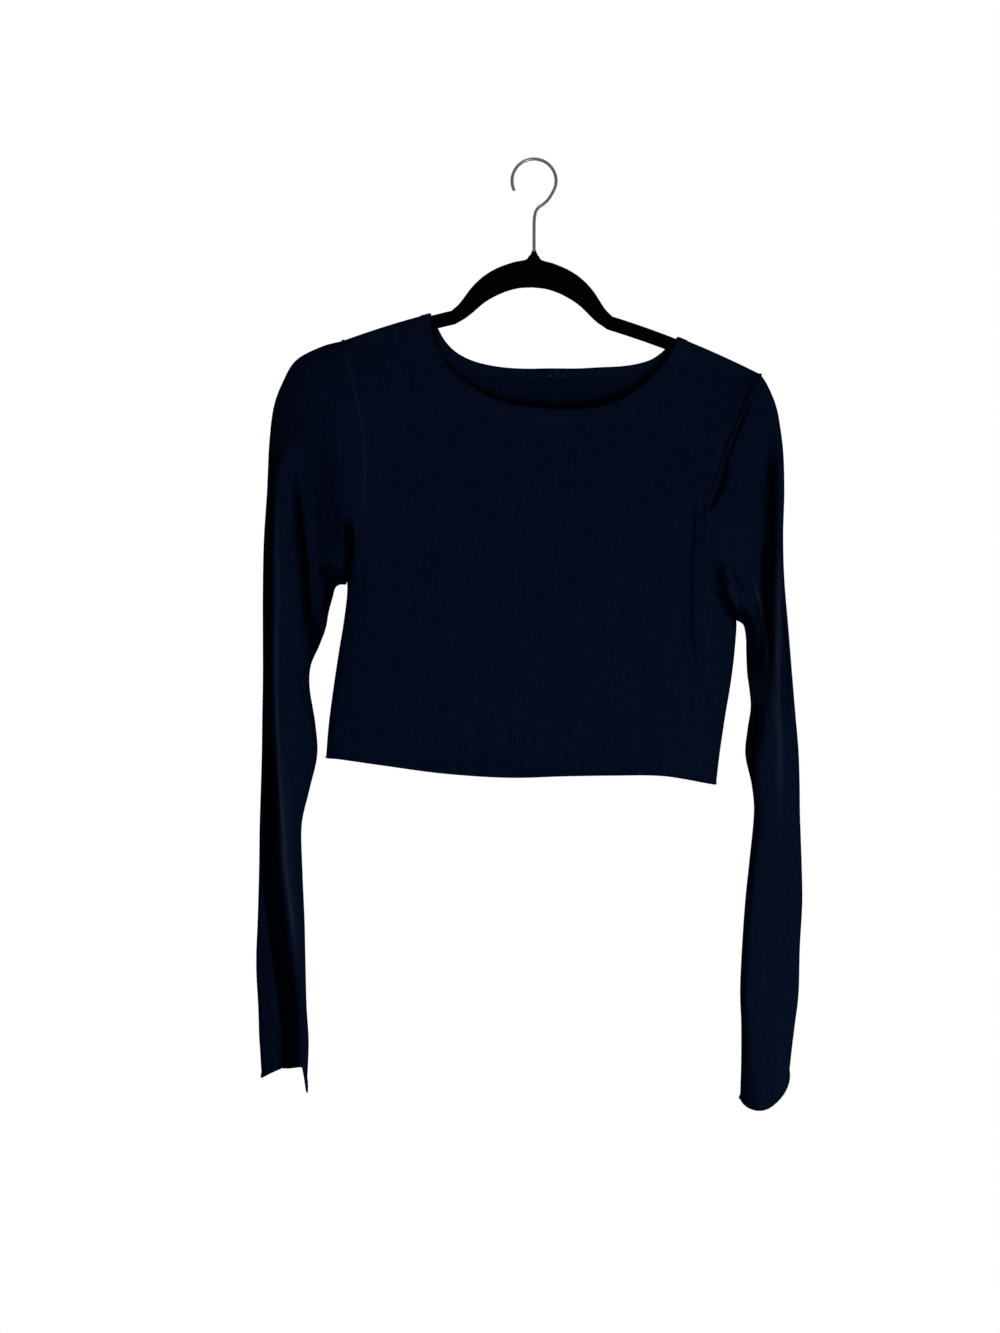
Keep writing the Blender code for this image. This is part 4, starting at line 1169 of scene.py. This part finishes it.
left_seam = armhole_seam("left_armhole_seam", 1)
right_seam = armhole_seam("right_armhole_seam", -1)

# ---- Stitching ----------------------------------------------------------------------------------------------------
# Navy polyester thread. Twin rows hold the neckband down and show inside as one looped row. Twin rows also run
# along both armhole seams. Two short tacks and the band's join are at centre back.
THREAD_RADIUS = 0.25
STITCH_LENGTH = 2.2
STITCH_PITCH = 2.8
STITCH_SIDES = 6
STITCH_RINGS = 5
NECK_ROWS = ((8.6, 0.66), (12.4, 0.05))  # (down from the edge, out from the cloth)
INSIDE_NECK_ROW = (8.9, -1.25)
ARMHOLE_ROWS = ((-1.0, 0.72), (1.0, 0.72))  # (across from the seam, out from it)
CENTRE_BACK_ROWS = {  # (x, first and last distance down from the edge)
    "neckband_join": (21.8, 0.6, 10.0),
    "neck_tack_1": (15.0, 6.2, 12.0),
    "neck_tack_2": (28.4, 6.2, 9.5),
}
INSIDE_BAND = -1.35
TACK_RADIUS = 0.5
TACK_PLACES = 6


def thread_finish(name, dark, light):
    """Spun thread: a tight twist of lighter and darker strands."""
    made, tree, shader = new_finish(name)
    shader.inputs["Specular IOR Level"].default_value = 0.05
    shader.inputs["Roughness"].default_value = 0.5
    twist = noise_node(tree, tree.nodes.new("ShaderNodeTexCoord").outputs["Object"], scale=3500.0)
    tree.links.new(colour_node(tree, twist, dark, light, low=0.35, high=0.65), shader.inputs["Base Color"])
    return made


THREAD = thread_finish("navy_thread", (0.014, 0.019, 0.042), (0.026, 0.033, 0.068))
SEAM_THREAD = thread_finish("dark_navy_thread", (0.006, 0.011, 0.030), (0.012, 0.018, 0.044))
JOIN_THREAD = thread_finish("light_navy_thread", (0.026, 0.036, 0.072), (0.046, 0.056, 0.100))
TACK_THREAD = thread_finish("pale_thread", (0.09, 0.10, 0.13), (0.18, 0.19, 0.23))


def stitch_row(name, line, finish, closed=False, radius=THREAD_RADIUS):
    """One stitch, repeated and laid along a line of plumb points."""
    line = np.vstack([line, line[:1]]) if closed else np.array(line, float)
    length = run_along(line)[-1]
    count = max(int(length / STITCH_PITCH), 1)
    guide = guide_line(name + "_guide", line)
    bpy.ops.object.select_all(action="DESELECT")
    bpy.ops.mesh.primitive_uv_sphere_add(segments=STITCH_SIDES, ring_count=STITCH_RINGS, radius=1, location=(0, 0, 0))
    row = bpy.context.object
    row.name = row.data.name = name
    row.rotation_euler = (0, math.pi / 2, 0)
    bpy.ops.object.transform_apply(location=False, rotation=True, scale=False)
    row.scale = (STITCH_LENGTH / 2 * MM, radius * MM, radius * MM)
    row.location = (STITCH_PITCH / 2 * MM, 0, 0)
    bpy.ops.object.transform_apply(location=True, rotation=True, scale=True)
    repeat = row.modifiers.new("repeat", "ARRAY")
    repeat.count = count
    repeat.use_relative_offset = False
    repeat.use_constant_offset = True
    repeat.constant_offset_displace = (length / count * MM, 0, 0)
    laid = row.modifiers.new("laid", "CURVE")
    laid.object = guide
    bpy.ops.object.modifier_apply(modifier=repeat.name)
    bpy.ops.object.modifier_apply(modifier=laid.name)
    bpy.data.objects.remove(guide)
    bpy.ops.object.shade_smooth()
    row.data.materials.append(finish)
    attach(row, "root")
    return row


for number, (outset, out) in enumerate((*NECK_ROWS, INSIDE_NECK_ROW)):
    surface, normals = neck_surface([outset])
    line = surface[0] + normals[0] * out
    place = "inside" if out < 0 else ("upper", "lower")[number]
    stitch_row("neck_stitches_" + place, line, THREAD, closed=True)
for side, name in ((1, "left"), (-1, "right")):
    loop, out, across = armhole_loop(side)
    [
        stitch_row(f"{name}_armhole_stitches_{number}", loop + across * shift + out * above, SEAM_THREAD, closed=True)
        for number, (shift, above) in enumerate(ARMHOLE_ROWS, start=1)
    ]
for name, (x, first, last) in CENTRE_BACK_ROWS.items():
    surface, normals = neck_surface(np.linspace(first, last, TACK_PLACES))
    column = np.where(surface[0, :, 1] > 0, np.abs(surface[0, :, 0] - x), np.inf).argmin()
    line = surface[:, column] + normals[:, column] * INSIDE_BAND
    thread = TACK_THREAD if "tack" in name else JOIN_THREAD
    stitch_row(name, line, thread, radius=TACK_RADIUS)

# ---- Floor, light and camera --------------------------------------------------------------------------------------
# A pale floor well below the garment and a plain pale surround. Soft lights: one broad key and a weaker fill in
# front, one at the left side and two behind. Places and sizes here are in metres.
FLOOR_DROP = 1.65
FLOOR_RADIUS = 1.35
FLOOR_SIDES = 96
FLOOR_GLOW = 0.5
SURROUND_LIGHT = 0.06
SURROUND_GLOSS = 0.3
LIGHT_AIM = (0, 0, -0.5)
bpy.ops.mesh.primitive_circle_add(
    vertices=FLOOR_SIDES, radius=FLOOR_RADIUS, fill_type="NGON", location=(0, 0, -FLOOR_DROP)
)  # fmt: skip
floor = bpy.context.object
floor.name = "floor"
pale, tree, shader = new_finish("pale_floor")
shader.inputs["Base Color"].default_value = (0.9, 0.9, 0.9, 1)
shader.inputs["Roughness"].default_value = 0.8
shader.inputs["Emission Color"].default_value = (1, 1, 1, 1)
seen_rays = tree.nodes.new("ShaderNodeLightPath").outputs["Is Camera Ray"]
tree.links.new(math_node(tree, "MULTIPLY", seen_rays, FLOOR_GLOW), shader.inputs["Emission Strength"])
floor.data.materials.append(pale)

world = bpy.data.worlds.new("surround")
world.use_nodes = True
bpy.context.scene.world = world
tree = world.node_tree
seen = tree.nodes["Background"]
seen.inputs["Color"].default_value = (1, 1, 1, 1)
seen.inputs["Strength"].default_value = 1.0
lighting = tree.nodes.new("ShaderNodeBackground")
lighting.inputs["Color"].default_value = (1, 1, 1, 1)
rays = tree.nodes.new("ShaderNodeLightPath").outputs
strength = math_node(tree, "MULTIPLY_ADD", rays["Is Glossy Ray"], SURROUND_GLOSS, SURROUND_LIGHT)
tree.links.new(strength, lighting.inputs["Strength"])
choice = tree.nodes.new("ShaderNodeMixShader")
tree.links.new(rays["Is Camera Ray"], choice.inputs["Fac"])
tree.links.new(lighting.outputs["Background"], choice.inputs[1])
tree.links.new(seen.outputs["Background"], choice.inputs[2])
tree.links.new(choice.outputs["Shader"], tree.nodes["World Output"].inputs["Surface"])

for name, place, size, power in (
    ("key_light", (0.85, -2.6, -1.55), 0.75, 26.0),
    ("fill_light", (0.4, -2.2, 1.2), 1.2, 3.0),
    ("left_side_light", (2.4, 0.3, -0.3), 1.0, 5.0),
    ("left_back_light", (0.7, 2.5, -0.2), 1.0, 18.0),
    ("right_back_light", (-0.7, 2.5, -0.2), 1.0, 10.0),
):
    bpy.ops.object.light_add(type="AREA", location=place)
    light = bpy.context.object
    light.name = name
    light.data.size = size
    light.data.energy = power
    aim = np.subtract(LIGHT_AIM, place)
    light.rotation_euler = (
        math.atan2(math.hypot(aim[0], aim[1]), -aim[2]), 0, math.atan2(aim[1], aim[0]) - math.pi / 2
    )  # fmt: skip

bpy.ops.object.camera_add(location=(-0.032, -1.740, -0.4755), rotation=(math.pi / 2, 0, 0))
camera = bpy.context.object
camera.data.lens = 50
camera.data.sensor_width = 36
bpy.context.scene.camera = camera
bpy.context.scene.view_settings.view_transform = "Standard"
